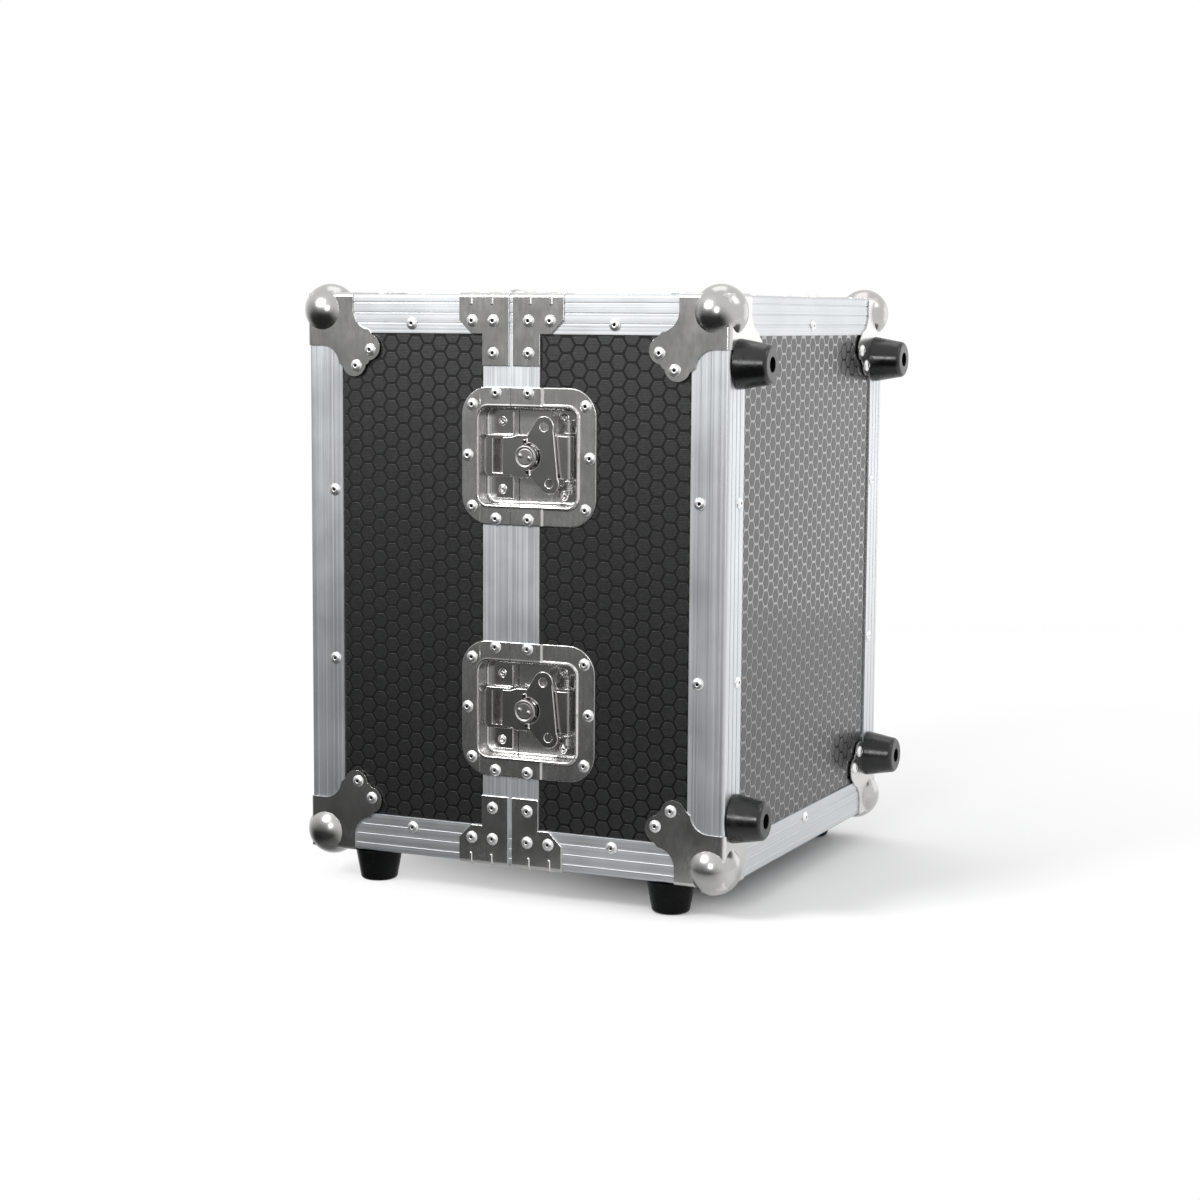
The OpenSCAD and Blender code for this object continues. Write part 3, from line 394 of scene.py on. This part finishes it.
# Mesh of what a bmesh holds; the bmesh is freed
def as_mesh(bm, name, smooth=False):
    for face in bm.faces:
        face.smooth = smooth
    mesh = bpy.data.meshes.new(name)
    bm.to_mesh(mesh)
    bm.free()
    return mesh


# A piece of its own that rides with a CAD node's body, and with replace stands for the node
def new_piece(name, mesh, node, finish_used, replace=False):
    piece = bpy.data.objects.new(name, mesh)
    bpy.context.scene.collection.objects.link(piece)
    if mesh.materials:
        mesh.materials.clear()
    mesh.materials.append(finish_used)
    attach(piece, BODY_OF[node])
    if replace:
        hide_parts(node)
    return piece


# Hexagon tiles of the laminate
HEX_PITCH = 12.4 * MM
HEX_GROOVE = 1.75 * MM
HEX_HEIGHT = 0.14 * MM
HEX_MARGIN = 0.15 * MM
# Rings of a tile as (inset, share of its height), from its foot up
HEX_STEPS = [(0, 0), (0.05 * MM, 0.7), (0.16 * MM, 1)]
LEAST_TILE = 1.2 * MM
LEAST_SIDE = 0.1 * MM
# Corner roundings of what covers the panels
DISH_ROUND = 22 * MM
HANDLE_DISH_ROUND = 9 * MM


# Part of a polygon on one side of a limit
def clipped(points, axis, limit, keep_above):
    result = []
    for before, after in zip(points[-1:] + points[:-1], points):
        inside_before = (before[axis] > limit) == keep_above
        inside_after = (after[axis] > limit) == keep_above
        if inside_before != inside_after:
            share = (limit - before[axis]) / (after[axis] - before[axis])
            result.append([before[k] + share * (after[k] - before[k]) for k in range(2)])
        if inside_after:
            result.append(list(after))
    return result


def without_short_sides(points, least):
    return [p for q, p in zip(points[-1:] + points[:-1], points) if math.dist(p, q) > least]


# Polygon with its sides moved inwards
def drawn_in(points, distance):
    result = []
    for before, here, after in zip(points[-1:] + points[:-1], points, points[1:] + points[:1]):
        first = Vector((before[1] - here[1], here[0] - before[0])).normalized()
        second = Vector((here[1] - after[1], after[0] - here[0])).normalized()
        shift = (first + second) * (distance / (1 + first.dot(second)))
        result.append([here[0] + shift.x, here[1] + shift.y])
    return result


# Least width of a convex polygon
def narrowest(points):
    best = math.inf
    for here, after in zip(points, points[1:] + points[:1]):
        side = Vector((after[0] - here[0], after[1] - here[1]))
        normal = Vector((-side.y, side.x)).normalized()
        best = min(best, max(normal.dot(Vector((p[0] - here[0], p[1] - here[1]))) for p in points))
    return best


# Distance from a rounded rectangle's outline, negative inside
def outside_distance(point, low, high, radius):
    reach = [abs(point[k] - (low[k] + high[k]) / 2) - (high[k] - low[k]) / 2 + radius for k in range(2)]
    return math.hypot(max(reach[0], 0), max(reach[1], 0)) + min(max(reach), 0) - radius


# Tiles in the window of a panel: its corner, its two directions, its size and what covers it
def hexagon_tiles(corner, across, up, width, height, covers):
    radius = (HEX_PITCH - HEX_GROOVE) / math.sqrt(3)
    column_pitch = HEX_PITCH * math.sqrt(3) / 2
    out = across.cross(up)
    vertices, faces, smooth = [], [], []
    for column in range(-1, int(width / column_pitch) + 3):
        for row in range(-1, int(height / HEX_PITCH) + 3):
            middle = (column * column_pitch, (row + 0.5 * (column % 2)) * HEX_PITCH)
            if any(outside_distance(middle, *cover) < -radius for cover in covers):
                continue
            tile = [[middle[0] + radius * math.cos(k * math.pi / 3),
                     middle[1] + radius * math.sin(k * math.pi / 3)] for k in range(6)]
            for axis, limit, above in ((0, HEX_MARGIN, True), (0, width - HEX_MARGIN, False),
                                       (1, HEX_MARGIN, True), (1, height - HEX_MARGIN, False)):
                tile = clipped(tile, axis, limit, above) if tile else tile
            tile = without_short_sides(tile, LEAST_SIDE)
            if len(tile) < 3 or narrowest(tile) < LEAST_TILE:
                continue
            start = len(vertices)
            count = len(tile)
            for inset, rise in HEX_STEPS:
                for u, v in drawn_in(tile, inset):
                    vertices.append(corner + across * u + up * v + out * (rise * HEX_HEIGHT))
            for ring in range(len(HEX_STEPS) - 1):
                low = start + ring * count
                for k in range(count):
                    n = (k + 1) % count
                    faces.append((low + k, low + n, low + count + n, low + count + k))
                    smooth.append(True)
            top = start + count * (len(HEX_STEPS) - 1)
            faces.append(tuple(range(top, top + count)))
            smooth.append(False)
    return vertices, faces, smooth


def tile_panel(node, corner, across, up, size, face, covers):
    vertices, faces, smooth = hexagon_tiles(Vector(corner), across, up, *size, covers)
    mesh = bpy.data.meshes.new(node + "_hexagons")
    mesh.from_pydata(vertices, [], faces)
    mesh.polygons.foreach_set("use_smooth", smooth)
    new_piece(node + "_hexagons", mesh, node, face)


def make_tiles():
    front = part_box("base_front_panel")[0].y
    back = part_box("base_back_panel")[1].y
    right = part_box("base_side_panel")[1].x
    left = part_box("lid_side_panel")[0].x
    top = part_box("base_top_panel")[1].z
    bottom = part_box("base_bottom_panel")[0].z
    tall = CASE_HIGH.z - CASE_LOW.z - 2 * EDGE_W
    deep = CASE_HIGH.y - CASE_LOW.y - 2 * EDGE_W
    half_wide = CASE_HIGH.x - SEAM_X - STRIP_W - EDGE_W
    foot = CASE_LOW.z + EDGE_W
    near, far = CASE_LOW.y + EDGE_W, CASE_HIGH.y - EDGE_W
    base_start, base_end = SEAM_X + STRIP_W, CASE_HIGH.x - EDGE_W
    lid_start, lid_end = CASE_LOW.x + EDGE_W, SEAM_X - STRIP_W

    def dish_covers(start_x):
        covers = []
        for level in ("upper", "lower"):
            low_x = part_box(level + "_dish_lid_side")[0].x
            low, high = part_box(level + "_dish_base_side")
            covers.append(((low_x - start_x, low.z - foot), (high.x - start_x, high.z - foot),
                           DISH_ROUND))
        return covers

    handle_low, handle_high = [(corner.x - base_start, corner.y - near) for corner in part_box("handle_dish")]
    handle_cover = (handle_low, handle_high, HANDLE_DISH_ROUND)
    base_covers, lid_covers = dish_covers(base_start), dish_covers(lid_start)
    upright_panels = (
        ("base_front_panel", (base_start, front, foot), ALONG_X, (half_wide, tall), base_covers),
        ("lid_front_panel", (lid_start, front, foot), ALONG_X, (half_wide, tall), lid_covers),
        ("base_back_panel", (base_end, back, foot), -ALONG_X, (half_wide, tall), ()),
        ("lid_back_panel", (lid_end, back, foot), -ALONG_X, (half_wide, tall), ()),
        ("base_side_panel", (right, near, foot), ALONG_Y, (deep, tall), ()),
        ("lid_side_panel", (left, far, foot), -ALONG_Y, (deep, tall), ()),
    )
    for node, corner, across, size, covers in upright_panels:
        tile_panel(node, corner, across, ALONG_Z, size, FACE_VERTICAL, covers)
    level_panels = (
        ("base_top_panel", (base_start, near, top), ALONG_X, [handle_cover]),
        ("lid_top_panel", (lid_start, near, top), ALONG_X, ()),
        ("base_bottom_panel", (base_end, near, bottom), -ALONG_X, ()),
        ("lid_bottom_panel", (lid_end, near, bottom), -ALONG_X, ()),
    )
    for node, corner, across, covers in level_panels:
        tile_panel(node, corner, across, ALONG_Y, (half_wide, deep), FACE_LEVEL, covers)


# Separate solids of a CAD node as pairs of their lowest and highest corners
def islands(node):
    source = bmesh.new()
    source.from_mesh(NODES[node].data)
    bmesh.ops.remove_doubles(source, verts=source.verts, dist=WELD_GAP)
    left = set(source.verts)
    found = []
    while left:
        group, edge = set(), [left.pop()]
        while edge:
            vertex = edge.pop()
            group.add(vertex)
            for link in vertex.link_edges:
                other = link.other_vert(vertex)
                if other in left:
                    left.discard(other)
                    edge.append(other)
        low = Vector([min(v.co[k] for v in group) for k in range(3)])
        high = Vector([max(v.co[k] for v in group) for k in range(3)])
        found.append((low, high))
    source.free()
    return sorted(found, key=lambda pair: tuple(round(c, 5) for c in pair[0]))


# Turned shape: rings of (radius, height) points about an axis from a foot point
def lathed(bm, profile, foot, axis, sides):
    turn = ALONG_Z.rotation_difference(axis).to_matrix()
    rings = []
    for radius, height in profile:
        ring = []
        for k in range(sides if radius else 1):
            angle = 2 * math.pi * k / sides
            place = Vector((radius * math.cos(angle), radius * math.sin(angle), height))
            ring.append(bm.verts.new(foot + turn @ place))
        rings.append(ring)
    for inner, outer in zip(rings, rings[1:]):
        for k in range(sides):
            n = (k + 1) % sides
            if len(inner) == 1:
                bm.faces.new((inner[0], outer[k], outer[n]))
            elif len(outer) == 1:
                bm.faces.new((inner[k], outer[0], inner[n]))
            else:
                bm.faces.new((inner[k], outer[k], outer[n], inner[n]))


# A domed rivet head with its stem broken off in the hole, from the middle outwards: first the stem and
# the hole, whose first bands of faces are painted dark as shade, as shares of the hole's radius and the
# head's height, then the dome and the rim
STEM_AND_HOLE = [(0, 0.34), (0.5, 0.32), (0.62, 0.1), (0.9, 0.1), (0.96, 0.8), (1.1, 0.94), (1.35, 1)]
SHADE_BANDS = 4
HOLE_SHARE = 0.25
DOME_REACH = 0.97
DOME_DROP, DOME_POWER = 0.72, 2.2
DOME_STEPS = 6
RIM_SHARE = 0.2
RIVET_SIDES = 20


def rivet_profile(radius, height):
    hole = HOLE_SHARE * radius
    points = [(hole * reach, height * rise) for reach, rise in STEM_AND_HOLE]
    start = points[-1][0]
    for k in range(1, DOME_STEPS + 1):
        share = k / DOME_STEPS
        points.append((start + (radius * DOME_REACH - start) * share,
                       height - height * DOME_DROP * share ** DOME_POWER))
    return points + [(radius, height * RIM_SHARE), (radius, 0)]


def make_rivets(node):
    bm = bmesh.new()
    for low, high in islands(node):
        size = high - low
        axis_index = min(range(3), key=lambda k: size[k])
        middle = (low + high) / 2
        away = 1 if middle[axis_index] > CENTRE[axis_index] else -1
        axis = Vector([away * (k == axis_index) for k in range(3)])
        foot = middle.copy()
        foot[axis_index] = low[axis_index] if away > 0 else high[axis_index]
        first = len(bm.faces)
        lathed(bm, rivet_profile(max(size) / 2, size[axis_index]), foot, axis, RIVET_SIDES)
        bm.faces.ensure_lookup_table()
        # The first bands of the stem and the hole are painted dark as shade
        for face in bm.faces[first:first + SHADE_BANDS * RIVET_SIDES]:
            face.material_index = 1
    mesh = as_mesh(bm, node + "_heads", smooth=True)
    new_piece(node + "_heads", mesh, node, RIVET, replace=True)
    mesh.materials.append(PAINTED_SHADE)


# Gives those faces of a CAD node that are picked by their middle a finish of their own
def finish_faces(node, finish_used, picked):
    mesh = NODES[node].data
    index = len(mesh.materials)
    mesh.materials.append(finish_used)
    for face in mesh.polygons:
        face.material_index = index if picked(face.center) else 0


# The level runs of a closure frame, along the top and the bottom of the case
def on_level_run(point):
    return point.z > CASE_HIGH.z - EDGE_W or point.z < CASE_LOW.z + EDGE_W


# The balls of a ball corner stand out further from the case than its plates
BALL_MARGIN = 1.45 * MM


def on_ball(point):
    return max(max(CASE_LOW[k] - point[k], point[k] - CASE_HIGH[k]) for k in range(3)) > BALL_MARGIN


# The wing's eyes round the drum's stubs, above and below the drum, whose faces are painted dark as shade
EYE_HALF_W = 2.4 * MM
EYE_FROM = 9.5 * MM


def on_eye(drum):
    low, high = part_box(drum)
    middle = (low + high) / 2

    def picked(point):
        return abs(point.x - middle.x) < EYE_HALF_W and abs(point.z - middle.z) > EYE_FROM
    return picked


# Pressed latch dish: flange, crank over the strips' edges, rim bead, wall and floor of the pan
DISH_T = 1.2 * MM
SHEET_T = 0.92 * DISH_T
DISH_GAP = 0.3 * MM
DISH_EDGE_STEP = 1.5 * MM
CRANK_AT = STRIP_W + 2 * MM
CRANK_SHARES = (-0.6, -0.2, 0.2, 0.6, 1.0, 1.4)
PAN_LOW_X = -28.5 * MM
PAN_HIGH_X = 56 * MM
PAN_HALF_H = 38 * MM
PAN_ROUND = 9 * MM
BEAD_FROM, BEAD_TO = 0.3 * MM, 1.6 * MM
CORNER_STEPS = 12
DISH_EDGE_W = 0.22 * MM
DISH_SHARP_ANGLE = math.radians(50)
CUT_TOLERANCE = 0.001 * MM
# Rings of the flange as (inset, depth below its face) in millimetres, from the outside in
FLANGE_RINGS = [(0, 1.15), (0, 0.5), (0.06, 0.25), (0.22, 0.08), (0.5, 0), (1.0, 0)]
# Rings round the pan as (inset, depth below the middle flange) in millimetres
PAN_RINGS = [(-2.6, 0), (-1.7, 0), (-1.3, -0.03), (-0.9, -0.12), (-0.4, -0.16), (0, -0.12), (0.45, 0.08),
             (0.85, 0.45), (1.12, 0.95), (1.2, 1.5)]
PAN_FILLET = 2.2 * MM
FILLET_STEPS = 5


# Outline of a rounded rectangle
def rounded_ring(low, high, radius):
    x0, z0, x1, z1 = low[0] + radius, low[1] + radius, high[0] - radius, high[1] - radius
    points = []
    for turn, (x, z) in enumerate(((x1, z1), (x0, z1), (x0, z0), (x1, z0))):
        for k in range(CORNER_STEPS + 1):
            angle = (turn + k / CORNER_STEPS) * math.pi / 2
            points.append((x + radius * math.cos(angle), z + radius * math.sin(angle)))
    return points


# Smooth step from 0 to 1 between two limits
def eased(value, low, high):
    share = min(max((value - low) / (high - low), 0), 1)
    return share * share * (3 - 2 * share)


# Cuts a bmesh at an x; with clear_outer the side that the cut looks towards goes
def cut_across(bm, x, towards=1, clear_outer=False):
    bmesh.ops.bisect_plane(bm, geom=bm.verts[:] + bm.edges[:] + bm.faces[:], dist=CUT_TOLERANCE,
                           plane_co=(x, 0, 0), plane_no=(towards, 0, 0), clear_outer=clear_outer)


def make_dish(level):
    left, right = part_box(level + "_dish_lid_side"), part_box(level + "_dish_base_side")
    middle_z = (right[0].z + right[1].z) / 2
    half_h = (right[1].z - right[0].z) / 2
    face_y = right[0].y
    floor_depth = right[1].y - DISH_T - face_y
    flange_low, flange_high = (left[0].x - SEAM_X, -half_h), (right[1].x - SEAM_X, half_h)
    pan_low, pan_high = (PAN_LOW_X, -PAN_HALF_H), (PAN_HIGH_X, PAN_HALF_H)

    def ring(low, high, radius, inset):
        return rounded_ring([c + inset for c in low], [c - inset for c in high], radius - inset)

    rings = []
    for inset, depth in FLANGE_RINGS:
        rings.append((ring(flange_low, flange_high, DISH_ROUND, inset * MM), depth * MM))
    for inset, depth in PAN_RINGS:
        rings.append((ring(pan_low, pan_high, PAN_ROUND, inset * MM), depth * MM))
    for k in range(FILLET_STEPS + 1):
        angle = k / FILLET_STEPS * math.pi / 2
        inset = PAN_RINGS[-1][0] * MM + PAN_FILLET * (1 - math.cos(angle))
        rings.append((ring(pan_low, pan_high, PAN_ROUND, inset),
                      floor_depth - PAN_FILLET * (1 - math.sin(angle))))

    for node, keep in ((level + "_dish_lid_side", -1), (level + "_dish_base_side", 1)):
        bm = bmesh.new()
        loops = [[bm.verts.new((x, depth, z)) for x, z in points] for points, depth in rings]
        count = len(loops[0])
        for outer, inner in zip(loops, loops[1:]):
            for k in range(count):
                n = (k + 1) % count
                bm.faces.new((outer[k], inner[k], inner[n], outer[n]))
        bm.faces.new(list(reversed(loops[-1])))
        for side in (-1, 1):
            for share in CRANK_SHARES:
                cut_across(bm, side * (CRANK_AT + share * DISH_T))
        cut_across(bm, keep * DISH_GAP, towards=-keep, clear_outer=True)
        for vertex in bm.verts:
            away = outside_distance((vertex.co.x, vertex.co.z), pan_low, pan_high, PAN_ROUND)
            drop = DISH_EDGE_STEP * eased(abs(vertex.co.x), CRANK_AT + CRANK_SHARES[0] * DISH_T,
                                          CRANK_AT + CRANK_SHARES[-1] * DISH_T)
            vertex.co.y += drop * eased(away, BEAD_FROM, BEAD_TO)
            vertex.co += Vector((SEAM_X, face_y, middle_z))
        bmesh.ops.recalc_face_normals(bm, faces=bm.faces)
        if max(bm.faces, key=lambda face: face.calc_area()).normal.y > 0:
            bmesh.ops.reverse_faces(bm, faces=bm.faces)
        mesh = as_mesh(bm, node + "_pressing", smooth=True)
        piece = new_piece(node + "_pressing", mesh, node, DISH, replace=True)
        sheet = piece.modifiers.new("sheet", "SOLIDIFY")
        sheet.thickness = SHEET_T
        sheet.offset = -1
        edge = piece.modifiers.new("edge", "BEVEL")
        edge.width = DISH_EDGE_W
        edge.segments = ROUNDING_STEPS
        edge.limit_method = "ANGLE"
        edge.angle_limit = DISH_SHARP_ANGLE
        edge.harden_normals = True
        weighted = piece.modifiers.new("weighted", "WEIGHTED_NORMAL")
        weighted.keep_sharp = True


# Face of the latch drum: a sunk disc in a raised rim, and two domed pins, both as rings of
# (radius, height) in millimetres
DRUM_FACE = [(0, 0.3), (5.5, 0.3), (5.9, 0.3), (6.3, 0.12), (6.7, 0.12), (7.0, 0.6), (7.5, 0.9),
             (8.1, 0.9), (8.6, 0.6), (8.85, 0.1), (8.85, -0.2)]
PIN_DOME = [(0, 1.25), (0.7, 1.2), (1.3, 1.0), (1.75, 0.65), (1.95, 0.3), (2.0, -0.1)]
DRUM_SIDES = 48


def make_drum_face(level):
    node = level + "_drum"
    solids = islands(node)
    body = max(solids, key=lambda pair: (pair[1] - pair[0]).length)
    bm = bmesh.new()
    for low, high in solids:
        profile = DRUM_FACE if (low, high) == body else PIN_DOME
        foot = (low + high) / 2
        foot.y = body[0].y
        if profile is PIN_DOME:
            foot.y -= DRUM_FACE[0][1] * MM
        lathed(bm, [(r * MM, h * MM) for r, h in profile], foot, -ALONG_Y, DRUM_SIDES)
    new_piece(node + "_face", as_mesh(bm, node + "_face", smooth=True), node, DRUM)


# Foam lining: the CAD foam remeshed, rounded and drawn in a little
FOAM_VOXEL = 3 * MM
FOAM_RELAX = 0.5
FOAM_RELAX_ROUNDS = 2
FOAM_INSET = 1.3 * MM


def make_foam(node):
    source = bpy.data.objects.new(node + "_source", NODES[node].data.copy())
    bpy.context.scene.collection.objects.link(source)
    remesh = source.modifiers.new("remesh", "REMESH")
    remesh.mode = "VOXEL"
    remesh.voxel_size = FOAM_VOXEL
    relax = source.modifiers.new("relax", "SMOOTH")
    relax.factor = FOAM_RELAX
    relax.iterations = FOAM_RELAX_ROUNDS
    draw_in = source.modifiers.new("draw_in", "DISPLACE")
    draw_in.mid_level = 0
    draw_in.strength = -FOAM_INSET
    bpy.context.view_layer.update()
    evaluated = source.evaluated_get(bpy.context.evaluated_depsgraph_get())
    mesh = bpy.data.meshes.new_from_object(evaluated)
    mesh.name = node + "_lining"
    bpy.data.objects.remove(source)
    for face in mesh.polygons:
        face.use_smooth = True
    piece = new_piece(node + "_lining", mesh, node, FOAM, replace=True)


# Widths of the rounded edges in millimetres; those of sheet metal get a brighter finish on their rounding as
# a painted highlight
SOFT_EDGES = {
    "base_closure_frame": 0.25, "lid_closure_frame": 0.25,
    "base_cross_edges": 0.2, "lid_cross_edges": 0.2, "base_upright_edges": 0.2, "lid_upright_edges": 0.2,
    "base_side_edges": 0.2, "lid_side_edges": 0.2,
    "handle_grip": 0.8, "handle_pin": 0.2,
    "base_feet": 0.3, "lid_feet": 0.3, "side_feet": 0.3, "base_foot_screws": 0.2, "lid_foot_screws": 0.2,
}
PAINTED_HIGHLIGHT_EDGES = {
    "base_brace_plates": 0.6, "lid_brace_plates": 0.6, "base_ball_corners": 0.6, "lid_ball_corners": 0.6,
    "hinge_base_leaves": 0.4, "hinge_lid_leaves": 0.4, "hinge_pins": 0.3, "handle_dish": 0.5,
}
LATCH_EDGES = {
    "keeper": 0.45, "bracket": 0.4, "pin": 0.3, "arm": 0.55, "hook": 0.45, "drum": 0.8, "wing": 0.6,
}


# Pale floor that fades into the surroundings
FLOOR_AT = Vector((0.45, 0.75, 0))
FLOOR_FADE = (0.9, 1.16)
FLOOR_R = FLOOR_FADE[1]
FLOOR_SEGMENTS = 96
FLOOR_DROP = 0.2 * MM


def make_floor():
    bm = bmesh.new()
    bmesh.ops.create_circle(bm, cap_ends=True, radius=FLOOR_R, segments=FLOOR_SEGMENTS)
    mesh = as_mesh(bm, "floor")
    floor = bpy.data.objects.new("floor", mesh)
    floor.location = FLOOR_AT - Vector((0, 0, FLOOR_DROP))
    bpy.context.scene.collection.objects.link(floor)
    material = finish("pale_floor", grey(0.9), 0.9, Specular_IOR_Level=0.1)
    mesh.materials.append(material)
    place = add(material, "ShaderNodeTexCoord")
    length = add(material, "ShaderNodeVectorMath", operation="LENGTH")
    wire(material, place.outputs["Object"], length.inputs[0])
    wire(material, ranged(material, length.outputs["Value"], FLOOR_FADE, (1, 0)),
         shader_input(material, "Alpha"))


# White surroundings
def make_world():
    world = bpy.data.worlds.new("studio")
    bpy.context.scene.world = world
    world.use_nodes = True
    background = world.node_tree.nodes["Background"]
    background.inputs["Color"].default_value = (1, 1, 1, 1)
    background.inputs["Strength"].default_value = 1.0


# Dim bowl below and in front, out of the camera's sight, so that bright metal has something to mirror:
# pale at its rim like the world and dimmed by shares that grow towards its middle and below the horizon
BOWL_R = 8
BOWL_SEGMENTS, BOWL_RINGS = 64, 32
DIM_TOWARDS = Vector((-0.4, -0.75, -0.8)).normalized()
DIM_FADE = (0.0, 0.68)
HORIZON_FADE = (-0.2, 0.03)
# Most that is taken away below the horizon, and above it
DIM_SHARES = (0.97, 0.79)


def make_bowl():
    bm = bmesh.new()
    bmesh.ops.create_uvsphere(bm, u_segments=BOWL_SEGMENTS, v_segments=BOWL_RINGS, radius=BOWL_R)
    outside = [face for face in bm.faces
               if face.calc_center_median().normalized().dot(DIM_TOWARDS) < DIM_FADE[0]]
    bmesh.ops.delete(bm, geom=outside, context="FACES")
    mesh = as_mesh(bm, "dim_bowl")
    bowl = bpy.data.objects.new("dim_bowl", mesh)
    bpy.context.scene.collection.objects.link(bowl)
    bowl.visible_camera = False
    material = bpy.data.materials.new("dim_card")
    material.use_nodes = True
    material.cycles.emission_sampling = "NONE"
    place = add(material, "ShaderNodeTexCoord")
    way = add(material, "ShaderNodeVectorMath", operation="NORMALIZE")
    wire(material, place.outputs["Object"], way.inputs[0])
    side = add(material, "ShaderNodeVectorMath", operation="DOT_PRODUCT")
    side.inputs[1].default_value = DIM_TOWARDS
    wire(material, way.outputs[0], side.inputs[0])
    split = add(material, "ShaderNodeSeparateXYZ")
    wire(material, way.outputs[0], split.inputs[0])
    share = ranged(material, side.outputs["Value"], DIM_FADE, (0, 1))
    depth = ranged(material, split.outputs["Z"], HORIZON_FADE, DIM_SHARES)
    tone = combined(material, "SUBTRACT", 1, combined(material, "MULTIPLY", share, depth))
    glow = add(material, "ShaderNodeEmission")
    wire(material, tone, glow.inputs["Strength"])
    wire(material, glow.outputs[0], material.node_tree.nodes["Material Output"].inputs["Surface"])
    mesh.materials.append(material)


# Soft lamps as (place, width, height, power), all turned to the same point of the case
LAMPS_TOWARDS = Vector((0, 0, 0.25))
LAMPS = {
    "key": ((1.9, 0.2, 1.9), 0.9, 0.9, 5),
    "fill": ((-0.5, -1.0, 0.95), 0.5, 0.35, 10),
    "front": ((0.29, -2.12, 0.74), 0.4, 0.5, 7),
    "top": ((-0.3, 0.6, 2.4), 1.2, 1.2, 4),
    "rear": ((1.6, 2.6, 0.3), 2.0, 2.0, 6.3),
}


def make_lights():
    for name, (place, width, height, power) in LAMPS.items():
        data = bpy.data.lights.new(name, "AREA")
        data.shape = "RECTANGLE"
        data.size = width
        data.size_y = height
        data.energy = power
        lamp = bpy.data.objects.new(name, data)
        lamp.location = place
        lamp.visible_camera = False
        lamp.rotation_euler = (LAMPS_TOWARDS - Vector(place)).to_track_quat("-Z", "Y").to_euler()
        bpy.context.scene.collection.objects.link(lamp)


for cad_node in NODES:
    dress(cad_node)
for cad_node, width in SOFT_EDGES.items():
    soften(NODES[cad_node], width * MM)
for cad_node, width in PAINTED_HIGHLIGHT_EDGES.items():
    soften(NODES[cad_node], width * MM, rim=PAINTED_HIGHLIGHT_EDGE)
for latch_level in ("upper", "lower"):
    make_dish(latch_level)
    make_drum_face(latch_level)
    # The wing's eyes are painted dark as shade
    finish_faces(latch_level + "_wing", PAINTED_SHADE, on_eye(latch_level + "_drum"))
    for part, width in LATCH_EDGES.items():
        # The roundings of the latch parts, all but the drum, get the painted highlight finish
        rim = None if part == "drum" else PAINTED_HIGHLIGHT_EDGE
        soften(NODES[latch_level + "_" + part], width * MM, rim=rim, clamp=False)
for corners in ("base_ball_corners", "lid_ball_corners"):
    finish_faces(corners, BALL, on_ball)
for closure_frame in ("base_closure_frame", "lid_closure_frame"):
    # The level runs take the darker copy of the strip as painted shade
    finish_faces(closure_frame, LEVEL_STRIP, on_level_run)
for rivets in ("base_rivets", "lid_rivets"):
    make_rivets(rivets)
for lining in ("base_foam", "lid_foam"):
    make_foam(lining)
make_tiles()
make_camera()
make_floor()
make_world()
make_bowl()
make_lights()
bpy.context.scene.view_settings.view_transform = "Standard"
